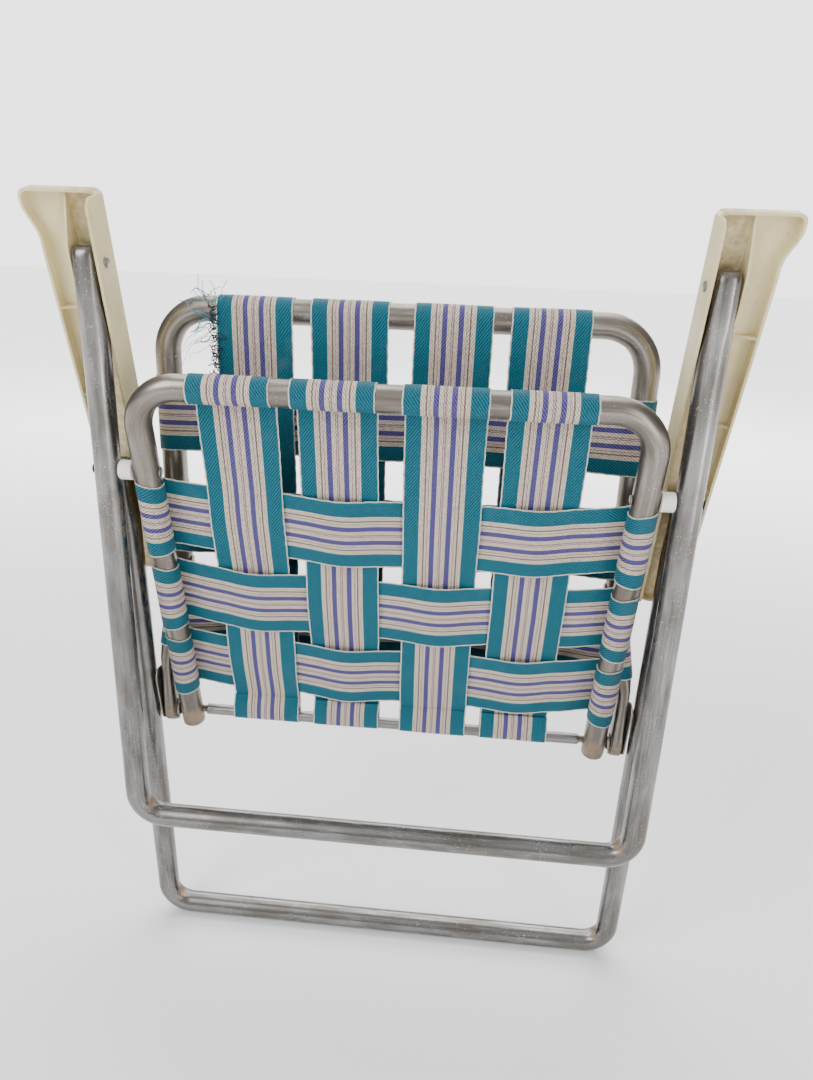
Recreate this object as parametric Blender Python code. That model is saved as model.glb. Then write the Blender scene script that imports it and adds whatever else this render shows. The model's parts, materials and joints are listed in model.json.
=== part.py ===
"""Folding webbed lawn chair, folded and standing upright.

Bent aluminium tube frames for the seat, the back, the front legs and the rear legs,
two moulded arms, woven webbing straps, and the rivets, spacers and links that join
them. X runs across the chair, +Y towards the back, +Z up. Every frame is drawn in
its own plane, with its own origin on the pivot it turns about.
"""

import math

import bmesh
import bpy
from mathutils import Matrix, Vector

# ---------------------------------------------------------------- driving sizes (m)
GAP = 0.0003                    # between pieces that touch
RUNNING = 0.0004                # radial clearance of a pin in its hole

TUBE_R = 0.0127                 # outer radius of every frame tube
TUBE_WALL = 0.0014
TUBE_SIDES = 12
BEND_STEPS = 4

SEAT_HALF = 0.236               # centre line of a side tube from the middle
BACK_HALF = 0.238
FRONT_LEG_HALF = 0.275
REAR_LEG_HALF = 0.284

# distances along each frame from the pivot that is its origin
ARM_PIVOT_UP = 0.189            # arm pivot above the seat pivot, on the front leg
SEAT_REACH = 0.3175             # seat pivot to the rear rod
SEAT_FRONT = 0.087              # seat pivot to the front bar
SEAT_TAIL = 0.0185              # side tube beyond the rear rod
BACK_HEIGHT = 0.457             # rear rod to the top bar
FRONT_LEG_DOWN = 0.402          # seat pivot to the foot bar
REAR_LEG_DOWN = 0.595           # rear leg pivot to the foot bar
LINK_ON_LEG = 0.246             # rear leg pivot to the link pivot
LEG_ON_ARM = 0.210              # arm pivot to the rear leg pivot

SEAT_TILT = math.radians(14.0)  # seat and arms from the front leg, folded
REAR_LEG_TILT = math.radians(3.2)

SEAT_CORNER = 0.042             # centre line radii of the bends
BACK_CORNER = 0.045
FOOT_CORNER = 0.030

# flattened tube ends
END_HALF = 0.0095               # half thickness across, at the upper leg ends
END_DEEP = 0.0145               # half depth there
LEG_END = 0.014                 # tube beyond the pivot, at the upper leg ends
BACK_END_HALF = 0.007
BACK_END_DEEP = 0.0155
BACK_END = 0.0155
BACK_FLAT_TOP = 0.068           # top of the flattened length, above the rod
BACK_SPLAY_LOW = 0.078          # the back tubes spread between these two heights
BACK_SPLAY_HIGH = 0.1636

# rod, rivets, spacers and links
ROD_R = 0.00635
ROD_NECK_R = 0.004
ROD_NECK_SHOW = 0.007           # neck showing beside the seat tube
RIVET_R = 0.0024
RIVET_HEAD_R = 0.0050
RIVET_HEAD = 0.0016
SPACER_R = 0.0095
SPACER_CLEAR = 0.0003
CAP_R = 0.0075
CAP_THICK = 0.0020
LINK_THICK = 0.0016
LINK_BIG_R = 0.0140
LINK_SMALL_R = 0.0110
LINK_SIDE_GAP = 0.0005
ROUND_SIDES = 12

# moulded arm, across and deep measured from its pivot line
ARM_FLANGE = 0.0026
ARM_SKIN = 0.0030
ARM_UNDER = 0.0152              # pivot line to the underside of the skin
ARM_FLANGE_DROP = 0.0200        # inner flange below the pivot line
ARM_RIM = 0.0026
ARM_RIM_DEEP = 0.0110
ARM_RIB_DEEP = 0.0210
ARM_RIB_CLEAR = 0.0012
ARM_FRONT = 0.058               # skin ahead of the front pivot
ARM_REAR = 0.0175               # skin behind the back pivot
ARM_WIDE = 0.0700               # outer edge from the inner flange, at the wide end
ARM_WAIST = 0.0520              # the same, behind the flare
ARM_SLIM = 0.0410               # the same, at the rear end
ARM_FLARE = 0.046               # length of the wide end and its curve
GUSSET_PLACES = (0.045, 0.130, 0.200)
GUSSET_THICK = 0.0022

# webbing
STRAP_W = 0.0762
STRAP_T = 0.0010
WEAVE = 0.00075                 # centre line offset where straps cross
LONG_STRAPS = (-0.145, -0.051, 0.049, 0.142)
SEAT_ROWS = (-0.056, -0.152, -0.246)
BACK_ROWS = (0.352, 0.2380, 0.1255)
SEAT_SAG = 0.0020               # slack at the middle of the seat and of the back
BACK_SAG = 0.0015
WEAVE_EDGE = 0.515              # share of a strap's width past which its neighbour bends
SPLAY_CLEAR = 0.0012            # extra room under the lowest back strap
WRAP_STEP = math.radians(20)
HOOK_TURN = math.radians(140)   # how far a strap end goes round its tube or rod
HOOK_LEAD = math.radians(14)    # where a cross strap first meets the inside of its tube
LOW_LEAD = math.radians(50)     # the same for the lowest back strap

# ---------------------------------------------------------------- places worked out
DOWN = Vector((0, 0, -1))


def along(tilt, distance):
    """Offset for a distance down a frame that leans back by tilt."""
    return Vector((0, math.sin(tilt) * distance, -math.cos(tilt) * distance))


SEAT_PIVOT = Vector((0, 0, 0))
ARM_PIVOT = SEAT_PIVOT + Vector((0, 0, ARM_PIVOT_UP))
REAR_ROD = SEAT_PIVOT + along(SEAT_TILT, SEAT_REACH)
BACK_PIVOT = ARM_PIVOT + along(SEAT_TILT, SEAT_REACH)
LEG_PIVOT = ARM_PIVOT + along(SEAT_TILT, LEG_ON_ARM)
LINK_PIVOT = LEG_PIVOT + along(REAR_LEG_TILT, LINK_ON_LEG)
REAR_FOOT = LEG_PIVOT + along(REAR_LEG_TILT, REAR_LEG_DOWN)

FRONTMOST = along(SEAT_TILT, -SEAT_FRONT).y - TUBE_R - GAP - STRAP_T
ARM_TOP = ARM_UNDER + ARM_SKIN
ARM_LENGTH = SEAT_REACH + ARM_REAR
REARMOST = along(SEAT_TILT, ARM_LENGTH).y + ARM_TOP * math.cos(SEAT_TILT)
SOLE = TUBE_R * math.cos(math.pi / TUBE_SIDES - REAR_LEG_TILT)
STAND = Vector((0, -(FRONTMOST + REARMOST) / 2, SOLE - REAR_FOOT.z))

SEAT_OUT = SEAT_HALF + TUBE_R
BACK_OUT = BACK_HALF + TUBE_R
FLANGE_OUT = FRONT_LEG_HALF - TUBE_R - 0.0005
FLANGE_IN = FLANGE_OUT - ARM_FLANGE
SPACER_3 = (SEAT_OUT + GAP, FRONT_LEG_HALF - TUBE_R - GAP)
BACK_END_X = SEAT_OUT + 0.0035 + BACK_END_HALF
LINK_IN = BACK_END_X + BACK_END_HALF + LINK_SIDE_GAP
LINK_OUT = LINK_IN + LINK_THICK
WRAP_R = TUBE_R + GAP + STRAP_T / 2
SEAT_ROD_R = ROD_R + GAP + STRAP_T / 2
BACK_ROD_R = SEAT_ROD_R + STRAP_T + GAP


# ---------------------------------------------------------------- scene and materials
def clear_scene():
    for obj in list(bpy.data.objects):
        bpy.data.objects.remove(obj, do_unlink=True)


def material(name, colour, roughness, metallic):
    made = bpy.data.materials.new(name)
    made.use_nodes = True
    shader = made.node_tree.nodes["Principled BSDF"]
    shader.inputs["Base Color"].default_value = (*colour, 1)
    shader.inputs["Roughness"].default_value = roughness
    shader.inputs["Metallic"].default_value = metallic
    return made


def finishes():
    return {
        "tube": material("brushed aluminium tube", (0.60, 0.58, 0.55), 0.35, 1.0),
        "arm": material("ivory moulded plastic", (0.80, 0.72, 0.50), 0.45, 0.0),
        "rivet": material("rivet aluminium", (0.62, 0.60, 0.57), 0.40, 1.0),
        "nylon": material("white nylon", (0.82, 0.81, 0.76), 0.50, 0.0),
        "rod": material("bright rod", (0.66, 0.64, 0.61), 0.30, 1.0),
        "strap": material("striped webbing", (0.03, 0.28, 0.38), 0.85, 0.0),
    }


def add_object(name, mesh_data, finish, place, tilt=0.0):
    mesh = bpy.data.meshes.new(name)
    mesh_data.to_mesh(mesh)
    mesh_data.free()
    mesh.materials.append(finish)
    mesh.shade_smooth()
    mesh.set_sharp_from_angle(angle=math.radians(35))
    obj = bpy.data.objects.new(name, mesh)
    obj.location = place + STAND
    obj.rotation_euler = (tilt, 0, 0)
    bpy.context.collection.objects.link(obj)
    return obj


# ---------------------------------------------------------------- shape helpers
def cap(bm, ring):
    bm.faces.new(ring)


def skin_rings(bm, first, second):
    count = len(first)
    for i in range(count):
        j = (i + 1) % count
        bm.faces.new((first[i], first[j], second[j], second[i]))


def outward(bm):
    bmesh.ops.recalc_face_normals(bm, faces=bm.faces)
    return bm


def tube_mesh(stations):
    """Hollow tube through stations of (point, half width in plane, half depth).

    The centre line stays in the XZ plane; depth is along Y.
    """
    bm = bmesh.new()
    points = [station[0] for station in stations]
    rings = []
    for index, (point, half, deep) in enumerate(stations):
        before = points[max(index - 1, 0)]
        after = points[min(index + 1, len(points) - 1)]
        run_in = (point - before).normalized() if index else (after - point).normalized()
        last = index == len(points) - 1
        run_out = run_in if last else (after - point).normalized()
        middle = (run_in + run_out).normalized()
        stretch = 1 / max(middle.dot(run_in), 0.7)
        side = Vector((0, 1, 0)).cross(middle) * stretch
        pair = []
        for less in (0.0, TUBE_WALL):
            ring = []
            for k in range(TUBE_SIDES):
                turn = 2 * math.pi * (k + 0.5) / TUBE_SIDES
                offset = side * (half - less) * math.cos(turn)
                offset += Vector((0, (deep - less) * math.sin(turn), 0))
                ring.append(bm.verts.new(point + offset))
            pair.append(ring)
        rings.append(pair)
    for near, far in zip(rings, rings[1:]):
        skin_rings(bm, near[0], far[0])
        skin_rings(bm, near[1], far[1])
    for pair in (rings[0], rings[-1]):
        skin_rings(bm, pair[0], pair[1])
    return outward(bm)


def bend(centre, radius, start, end):
    """Points round a bend in the XZ plane, from one angle to another."""
    steps = range(BEND_STEPS + 1)
    angles = [start + (end - start) * step / BEND_STEPS for step in steps]
    return [centre + Vector((radius * math.cos(a), 0, radius * math.sin(a))) for a in angles]


def u_frame(half, bar, corner, side_end):
    """Stations of a U: side_end gives the right side, free end first, then the bar."""
    up = 1 if bar > 0 else -1
    centre = Vector((half - corner, 0, bar - up * corner))
    right = list(side_end)
    right += [(p, TUBE_R, TUBE_R) for p in bend(centre, corner, 0, up * math.pi / 2)]
    left = [(Vector((-p.x, p.y, p.z)), a, b) for p, a, b in reversed(right)]
    return right + left


def turned(profile, name, finish, place, tilt=0.0, sides=ROUND_SIDES):
    """Solid of revolution about X, from (x, radius) pairs in order along X."""
    bm = bmesh.new()
    rings = []
    for x, radius in profile:
        ring = []
        for k in range(sides):
            turn = 2 * math.pi * (k + 0.5) / sides
            ring.append(bm.verts.new((x, radius * math.cos(turn), radius * math.sin(turn))))
        rings.append(ring)
    for near, far in zip(rings, rings[1:]):
        skin_rings(bm, near, far)
    cap(bm, rings[0])
    cap(bm, rings[-1])
    return add_object(name, outward(bm), finish, place, tilt)


def sleeve(inner, outer, start, end, name, finish, place):
    """Ring about X with a hole, for spacers and washers."""
    bm = bmesh.new()
    rings = []
    for x, radius in ((start, outer), (end, outer), (end, inner), (start, inner)):
        ring = []
        for k in range(ROUND_SIDES):
            turn = 2 * math.pi * (k + 0.5) / ROUND_SIDES
            ring.append(bm.verts.new((x, radius * math.cos(turn), radius * math.sin(turn))))
        rings.append(ring)
    for near, far in zip(rings, rings[1:] + rings[:1]):
        skin_rings(bm, near, far)
    return add_object(name, outward(bm), finish, place)


def prism(outline, start, end, axis):
    """Outline of 2D points extruded along an axis: 0 is X, 1 is Y, 2 is Z."""
    bm = bmesh.new()

    def corner(point, depth):
        values = list(point)
        values.insert(axis, depth)
        return bm.verts.new(values)

    near = [corner(point, start) for point in outline]
    far = [corner(point, end) for point in outline]
    skin_rings(bm, near, far)
    cap(bm, near)
    cap(bm, far)
    return outward(bm)


def helper(name, mesh_data, place, tilt=0.0):
    """Hidden solid for a Boolean."""
    mesh = bpy.data.meshes.new(name)
    mesh_data.to_mesh(mesh)
    mesh_data.free()
    obj = bpy.data.objects.new(name, mesh)
    obj.location = place + STAND
    obj.rotation_euler = (tilt, 0, 0)
    obj.hide_render = True
    obj.display_type = "WIRE"
    bpy.context.collection.objects.link(obj)
    return obj


def boolean(obj, other, operation):
    modifier = obj.modifiers.new(other.name, "BOOLEAN")
    modifier.operation = operation
    modifier.object = other
    modifier.solver = "EXACT"


def drill(obj, name, place, radius, reach=(-0.32, 0.32)):
    """Round hole along X through everything of obj within reach."""
    bm = bmesh.new()
    rings = []
    for x in reach:
        ring = []
        for k in range(ROUND_SIDES):
            turn = 2 * math.pi * k / ROUND_SIDES
            ring.append(bm.verts.new((x, radius * math.cos(turn), radius * math.sin(turn))))
        rings.append(ring)
    skin_rings(bm, rings[0], rings[1])
    cap(bm, rings[0])
    cap(bm, rings[1])
    boolean(obj, helper(name, outward(bm), place), "DIFFERENCE")


# ---------------------------------------------------------------- frames
def rounded_end(x, pivot_z, end_z, half, deep, direction):
    """Flattened, round-nosed tube end: stations from the tip back to the pivot."""
    stations = []
    for share in (1.0, 0.86, 0.55, 0.0):
        height = pivot_z + (end_z - pivot_z) * share
        nose = deep * math.sqrt(max(1 - share * share, 0.07))
        stations.append((Vector((x, 0, height)), half, nose))
    stations.append((Vector((x, 0, pivot_z - direction * 0.022)), half, deep))
    return stations


def front_leg_frame(finish):
    x = FRONT_LEG_HALF
    tip = ARM_PIVOT_UP + LEG_END
    side = rounded_end(x, ARM_PIVOT_UP, tip, END_HALF, END_DEEP, 1)
    side.append((Vector((x, 0, ARM_PIVOT_UP - 0.060)), TUBE_R, TUBE_R))
    frame = tube_mesh(u_frame(x, -FRONT_LEG_DOWN, FOOT_CORNER, side))
    obj = add_object("front_leg_frame", frame, finish, SEAT_PIVOT)
    drill(obj, "front_leg_arm_hole", ARM_PIVOT, RIVET_R + RUNNING)
    drill(obj, "front_leg_seat_hole", SEAT_PIVOT, RIVET_R + RUNNING)


def rear_leg_frame(finish):
    x = REAR_LEG_HALF
    side = rounded_end(x, 0, LEG_END, END_HALF, END_DEEP, 1)
    side.append((Vector((x, 0, -0.060)), TUBE_R, TUBE_R))
    frame = tube_mesh(u_frame(x, -REAR_LEG_DOWN, FOOT_CORNER, side))
    obj = add_object("rear_leg_frame", frame, finish, LEG_PIVOT, REAR_LEG_TILT)
    drill(obj, "rear_leg_arm_hole", LEG_PIVOT, RIVET_R + RUNNING)
    drill(obj, "rear_leg_link_hole", LINK_PIVOT, RIVET_R + RUNNING)


def seat_frame(finish):
    tail = -(SEAT_REACH + SEAT_TAIL)
    side = [(Vector((SEAT_HALF, 0, tail)), TUBE_R, TUBE_R)]
    frame = tube_mesh(u_frame(SEAT_HALF, SEAT_FRONT, SEAT_CORNER, side))
    obj = add_object("seat_frame", frame, finish, SEAT_PIVOT, SEAT_TILT)
    drill(obj, "seat_pivot_hole", SEAT_PIVOT, RIVET_R + RUNNING)
    drill(obj, "seat_rod_hole", REAR_ROD, ROD_NECK_R + RUNNING)


def back_side(height):
    """Centre line X, half width and half depth of a back side tube at a height."""
    if height >= BACK_SPLAY_HIGH:
        return BACK_HALF, TUBE_R, TUBE_R
    share = (height - BACK_SPLAY_LOW) / (BACK_SPLAY_HIGH - BACK_SPLAY_LOW)
    low = (BACK_END_X - 0.0025, 0.0100, 0.0143)
    high = (BACK_HALF, TUBE_R, TUBE_R)
    return tuple(a + (b - a) * share for a, b in zip(low, high))


def back_frame(finish):
    side = rounded_end(BACK_END_X, 0, -BACK_END, BACK_END_HALF, BACK_END_DEEP, -1)
    side.append((Vector((BACK_END_X, 0, BACK_FLAT_TOP)), BACK_END_HALF, BACK_END_DEEP))
    for height in (BACK_SPLAY_LOW, BACK_SPLAY_HIGH):
        x, half, deep = back_side(height)
        side.append((Vector((x, 0, height)), half, deep))
    frame = tube_mesh(u_frame(BACK_HALF, BACK_HEIGHT, BACK_CORNER, side))
    obj = add_object("back_frame", frame, finish, REAR_ROD)
    drill(obj, "back_rod_hole", REAR_ROD, ROD_NECK_R + RUNNING)
    drill(obj, "back_arm_hole", BACK_PIVOT, RIVET_R + RUNNING)


# ---------------------------------------------------------------- rod, rivets, spacers
def rear_rod(finish):
    shoulder = SEAT_HALF - TUBE_R - ROD_NECK_SHOW
    end = LINK_OUT + GAP / 2
    half = [(shoulder, ROD_R), (shoulder + 0.002, ROD_NECK_R), (end, ROD_NECK_R)]
    profile = [(-x, r) for x, r in reversed(half)] + half
    turned(profile, "rear_cross_rod", finish, REAR_ROD, SEAT_TILT)


def rivet_profile(start, end):
    """Rivet with a low domed head outside each of two X places."""
    head = [(start - RIVET_HEAD, RIVET_HEAD_R * 0.6), (start - RIVET_HEAD * 0.4, RIVET_HEAD_R)]
    head += [(start, RIVET_HEAD_R), (start, RIVET_R), (end, RIVET_R), (end, RIVET_HEAD_R)]
    return head + [(end + RIVET_HEAD * 0.4, RIVET_HEAD_R), (end + RIVET_HEAD, RIVET_HEAD_R * 0.6)]


def mirrored(profile, side):
    """Profile for the right as drawn, or mirrored for the left."""
    if side > 0:
        return profile
    return [(-x, r) for x, r in reversed(profile)]


def both_sides():
    return (("left", -1), ("right", 1))


def rivets(finish):
    places = (
        ("arm_front_rivet", ARM_PIVOT, FLANGE_IN - GAP, FRONT_LEG_HALF + END_HALF + GAP),
        ("seat_rivet", SEAT_PIVOT, SEAT_HALF - TUBE_R - GAP, FRONT_LEG_HALF + TUBE_R + GAP),
        ("arm_rear_rivet", BACK_PIVOT, BACK_HALF - TUBE_R - GAP, FLANGE_OUT + GAP),
        ("leg_rivet", LEG_PIVOT, FLANGE_IN - GAP, REAR_LEG_HALF + END_HALF + GAP),
    )
    for side_name, side in both_sides():
        for name, place, start, end in places:
            turned(mirrored(rivet_profile(start, end), side), f"{side_name}_{name}", finish, place)


def link_rivets(finish):
    """Each link rivet in two lengths: a head on the link and a tail outside the leg."""
    top = REAR_LEG_HALF - TUBE_R - GAP
    head = [(LINK_IN + GAP, RIVET_R), (LINK_OUT + GAP, RIVET_R), (LINK_OUT + GAP, RIVET_HEAD_R)]
    head += [(top - 0.0008, RIVET_HEAD_R), (top, RIVET_HEAD_R * 0.6)]
    out = REAR_LEG_HALF + TUBE_R + GAP
    tail = [(out - 0.003, RIVET_R), (out, RIVET_R), (out, RIVET_HEAD_R)]
    tail += [(out + RIVET_HEAD * 0.4, RIVET_HEAD_R), (out + RIVET_HEAD, RIVET_HEAD_R * 0.6)]
    for side_name, side in both_sides():
        turned(mirrored(head, side), f"{side_name}_link_rivet_head", finish, LINK_PIVOT)
        turned(mirrored(tail, side), f"{side_name}_link_rivet_tail", finish, LINK_PIVOT)


def spacers(nylon, metal):
    sets = (
        ("seat_spacer", nylon, SEAT_PIVOT, SPACER_3, SPACER_R, RIVET_R),
        ("back_spacer", nylon, BACK_PIVOT, (BACK_OUT + GAP, FLANGE_IN - GAP), SPACER_R, RIVET_R),
        ("leg_spacer", nylon, LEG_PIVOT,
         (FLANGE_OUT + GAP, REAR_LEG_HALF - END_HALF - GAP), SPACER_R, RIVET_R),
        ("rod_washer", metal, REAR_ROD,
         (SEAT_OUT + GAP, BACK_END_X - BACK_END_HALF - GAP), SPACER_R, ROD_NECK_R),
    )
    for side_name, side in both_sides():
        for name, finish, place, reach, outer, pin in sets:
            start, end = sorted(side * x for x in reach)
            sleeve(pin + SPACER_CLEAR, outer, start, end, f"{side_name}_{name}", finish, place)


def rod_caps(finish):
    start = LINK_OUT + GAP * 2
    profile = [(start, CAP_R), (start + CAP_THICK * 0.5, CAP_R), (start + CAP_THICK, CAP_R * 0.7)]
    for side_name, side in both_sides():
        turned(mirrored(profile, side), f"{side_name}_rod_cap", finish, REAR_ROD)


def arc_points(centre, radius, start, end, steps):
    angles = [start + (end - start) * k / steps for k in range(steps + 1)]
    return [(centre[0] + radius * math.cos(a), centre[1] + radius * math.sin(a)) for a in angles]


def links(finish):
    """Teardrop plate from the rod to the rear leg, drawn with the leg end at the top."""
    reach = LINK_PIVOT - REAR_ROD
    length = reach.length
    turn = math.atan2(-reach.y, reach.z)
    spread = math.asin((LINK_BIG_R - LINK_SMALL_R) / length)
    outline = arc_points((0, 0), LINK_BIG_R, math.pi - spread, 2 * math.pi + spread, 12)
    outline += arc_points((0, length), LINK_SMALL_R, spread, math.pi - spread, 8)
    for side_name, side in both_sides():
        start, end = sorted((side * LINK_IN, side * LINK_OUT))
        plate = prism(outline, start, end, 0)
        obj = add_object(f"{side_name}_link_plate", plate, finish, REAR_ROD, turn)
        drill(obj, f"{side_name}_link_rod_hole", REAR_ROD, ROD_NECK_R + RUNNING)
        drill(obj, f"{side_name}_link_leg_hole", LINK_PIVOT, RIVET_R + RUNNING)


# ---------------------------------------------------------------- arms
def smooth_step(value):
    value = min(max(value, 0), 1)
    return value * value * (3 - 2 * value)


def arm_edge(u):
    """Outer edge of the arm from its inner flange, at a distance behind the pivot."""
    flare = smooth_step((u + ARM_FRONT - 0.012) / (ARM_FLARE - 0.012))
    taper = min(max(u / ARM_LENGTH, 0), 1)
    slim = ARM_WAIST + (ARM_SLIM - ARM_WAIST) * taper
    return ARM_WIDE + (slim - ARM_WIDE) * flare


def arm_outline(inset):
    """Plan of the arm as (x, z), pulled in by inset all round."""
    nose = 0.007 - inset * 0.5
    rear = 0.016 - inset * 0.5
    inner = FLANGE_IN + inset
    front = ARM_FRONT - inset
    back = -(ARM_LENGTH - inset)
    wide = FLANGE_IN + ARM_WIDE - inset
    points = arc_points((inner + nose, front - nose), nose, math.pi, math.pi / 2, 4)
    points += arc_points((wide - nose, front - nose), nose, math.pi / 2, 0, 4)
    steps = 14
    first = -ARM_FRONT + inset + nose + 0.002
    last = ARM_LENGTH - inset - rear - 0.002
    for k in range(steps):
        share = (k / (steps - 1)) ** 1.7
        u = first + (last - first) * share
        points.append((FLANGE_IN + arm_edge(u) - inset, -u))
    slim = FLANGE_IN + arm_edge(ARM_LENGTH) - inset
    points += arc_points((slim - rear, back + rear), rear, 0, -math.pi / 2, 5)
    points += arc_points((inner + rear, back + rear), rear, -math.pi / 2, -math.pi, 5)
    return points


def mirror_points(points, side):
    return points if side > 0 else [(-x, z) for x, z in reversed(points)]


def arm_frame_prism(side_name, side, name, x_range, z_range, deep):
    xs = sorted(side * x for x in x_range)
    outline = [(xs[0], z_range[0]), (xs[1], z_range[0]), (xs[1], z_range[1]), (xs[0], z_range[1])]
    return helper(f"{side_name}_{name}", prism(outline, deep[0], deep[1], 1), ARM_PIVOT, SEAT_TILT)


def arm_flange_outline():
    """Side view of the inner flange as (y, z): deep in front, rounded at both ends."""
    front = ARM_FRONT - 0.004
    back = -(ARM_LENGTH - 0.006)
    low = -ARM_FLANGE_DROP
    top = ARM_UNDER + ARM_SKIN * 0.5
    points = [(top, front), (low + 0.010, front)]
    points += arc_points((low + 0.010, front - 0.010), 0.010, math.pi / 2, math.pi, 3)
    points += arc_points((low + 0.014, back + 0.014), 0.014, math.pi, 3 * math.pi / 2, 4)
    points.append((top, back))
    return points


def arm(side_name, side, finish):
    skin = prism(mirror_points(arm_outline(0), side), ARM_UNDER, ARM_TOP, 1)
    obj = add_object(f"{side_name}_arm", skin, finish, ARM_PIVOT, SEAT_TILT)
    rim = helper(f"{side_name}_arm_rim",
                 prism(mirror_points(arm_outline(0), side), ARM_UNDER - ARM_RIM_DEEP,
                       ARM_UNDER + ARM_SKIN * 0.5, 1), ARM_PIVOT, SEAT_TILT)
    hollow = helper(f"{side_name}_arm_hollow",
                    prism(mirror_points(arm_outline(ARM_RIM), side), -0.05,
                          ARM_UNDER + ARM_SKIN * 0.2, 1), ARM_PIVOT, SEAT_TILT)
    boolean(rim, hollow, "DIFFERENCE")
    boolean(obj, rim, "UNION")
    xs = sorted((side * FLANGE_IN, side * FLANGE_OUT))
    flange = prism(arm_flange_outline(), xs[0], xs[1], 0)
    boolean(obj, helper(f"{side_name}_arm_flange", flange, ARM_PIVOT, SEAT_TILT), "UNION")
    rib_x = FRONT_LEG_HALF + TUBE_R + ARM_RIB_CLEAR
    rib = arm_frame_prism(side_name, side, "arm_rib", (rib_x, rib_x + ARM_RIM),
                          (-0.110, ARM_FRONT - 0.001), (ARM_UNDER - ARM_RIB_DEEP, ARM_TOP - 0.001))
    boolean(obj, rib, "UNION")
    for count, u in enumerate(GUSSET_PLACES):
        outer = FLANGE_IN + arm_edge(u) - ARM_RIM * 0.5
        inner = rib_x + ARM_RIM * 0.4 if u < 0.1 else REAR_LEG_HALF + TUBE_R + 0.0005
        low = ARM_UNDER - ARM_RIM_DEEP
        triangle = [(inner, ARM_UNDER + 0.001), (outer, ARM_UNDER + 0.001), (outer, low)]
        triangle = [(side * x, y) for x, y in triangle]
        wedge = prism(triangle, -u - GUSSET_THICK / 2, -u + GUSSET_THICK / 2, 2)
        boolean(obj, helper(f"{side_name}_arm_gusset_{count}", wedge, ARM_PIVOT, SEAT_TILT), "UNION")
    reach = sorted((side * (FLANGE_IN - 0.004), side * (FLANGE_OUT + 0.002)))
    for name, place in (("front", ARM_PIVOT), ("leg", LEG_PIVOT), ("rear", BACK_PIVOT)):
        drill(obj, f"{side_name}_arm_{name}_hole", place, RIVET_R + RUNNING, reach)


# ---------------------------------------------------------------- webbing
def ribbon(name, edges, finish, place, tilt):
    """Strap from two edge paths of 3D points, thickened by half each way."""
    bm = bmesh.new()
    stations = []
    count = len(edges[0])
    across = (edges[1][0] - edges[0][0]).normalized()
    for i in range(count):
        quad = []
        for path in edges:
            before = path[max(i - 1, 0)]
            after = path[min(i + 1, count - 1)]
            run_in = (path[i] - before).normalized() if i else (after - path[i]).normalized()
            run_out = (after - path[i]).normalized() if i < count - 1 else run_in
            middle = (run_in + run_out).normalized()
            normal = middle.cross(across).normalized() / max(middle.dot(run_in), 0.8)
            quad.append((path[i] + normal * STRAP_T / 2, path[i] - normal * STRAP_T / 2))
        (a_up, a_down), (b_up, b_down) = quad
        stations.append([bm.verts.new(v) for v in (a_up, b_up, b_down, a_down)])
    for near, far in zip(stations, stations[1:]):
        skin_rings(bm, near, far)
    cap(bm, stations[0])
    cap(bm, stations[-1])
    return add_object(name, outward(bm), finish, place, tilt)


def wrap(centre, radius, start, end):
    """Arc of (first, second) coordinates in steps small enough to look round."""
    steps = max(2, round(abs(end - start) / WRAP_STEP))
    return arc_points(centre, radius, start, end, steps)


def seat_level(z):
    """Height of the seat webbing's middle plane off the seat frame's plane."""
    share = (SEAT_FRONT - z) / (SEAT_FRONT + SEAT_REACH)
    return WRAP_R + (SEAT_ROD_R - WRAP_R) * share - SEAT_SAG * 4 * share * (1 - share)


def back_level(z):
    """The same for the back, measured up from the rear rod."""
    share = z / BACK_HEIGHT
    return BACK_ROD_R - (BACK_ROD_R + WRAP_R) * share + BACK_SAG * 4 * share * (1 - share)


def crossings(column, rows, level, lift):
    """Path of a lengthwise strap past the cross straps, one point at each edge of each."""
    points = []
    for index, row in enumerate(rows):
        for z in (row + STRAP_W * WEAVE_EDGE, row - STRAP_W * WEAVE_EDGE):
            points.append((level(z) + lift(column, index), z))
    return points


def seat_lift(column, row):
    """Offset of a lengthwise seat strap from the middle plane where it meets a cross strap."""
    return WEAVE if (column + row) % 2 else -WEAVE


def back_lift(column, row):
    return -WEAVE if (column + row) % 2 else WEAVE


def strap_edges(path, x):
    """The two edge paths of a lengthwise strap centred on x, from its (y, z) path."""
    return [[Vector((x + half, y, z)) for y, z in path] for half in (-STRAP_W / 2, STRAP_W / 2)]


def seat_long_strap(index, x, finish):
    upper = wrap((0, SEAT_FRONT), WRAP_R, math.pi / 2 + HOOK_TURN, 0)
    middle = crossings(index, SEAT_ROWS, seat_level, seat_lift)
    lower = wrap((0, -SEAT_REACH), SEAT_ROD_R, 0, -HOOK_TURN)
    edges = strap_edges(upper + middle + lower, x)
    ribbon(f"seat_long_strap_{index + 1}", edges, finish, SEAT_PIVOT, SEAT_TILT)


def back_long_strap(index, x, finish):
    upper = wrap((0, BACK_HEIGHT), WRAP_R, math.pi / 2 - HOOK_TURN, math.pi)
    middle = crossings(index, BACK_ROWS, back_level, back_lift)
    lower = wrap((0, 0), BACK_ROD_R, 0, -HOOK_TURN / 2)
    edges = strap_edges(upper + middle + lower, x)
    ribbon(f"back_long_strap_{index + 1}", edges, finish, REAR_ROD, 0.0)


def cross_run(row, level, lift):
    """Path of a cross strap's edge past the lengthwise straps."""
    points = []
    for column, x in enumerate(LONG_STRAPS):
        for edge in (-STRAP_W * WEAVE_EDGE, STRAP_W * WEAVE_EDGE):
            points.append((x + edge, level - lift(column, row)))
    return points


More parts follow.
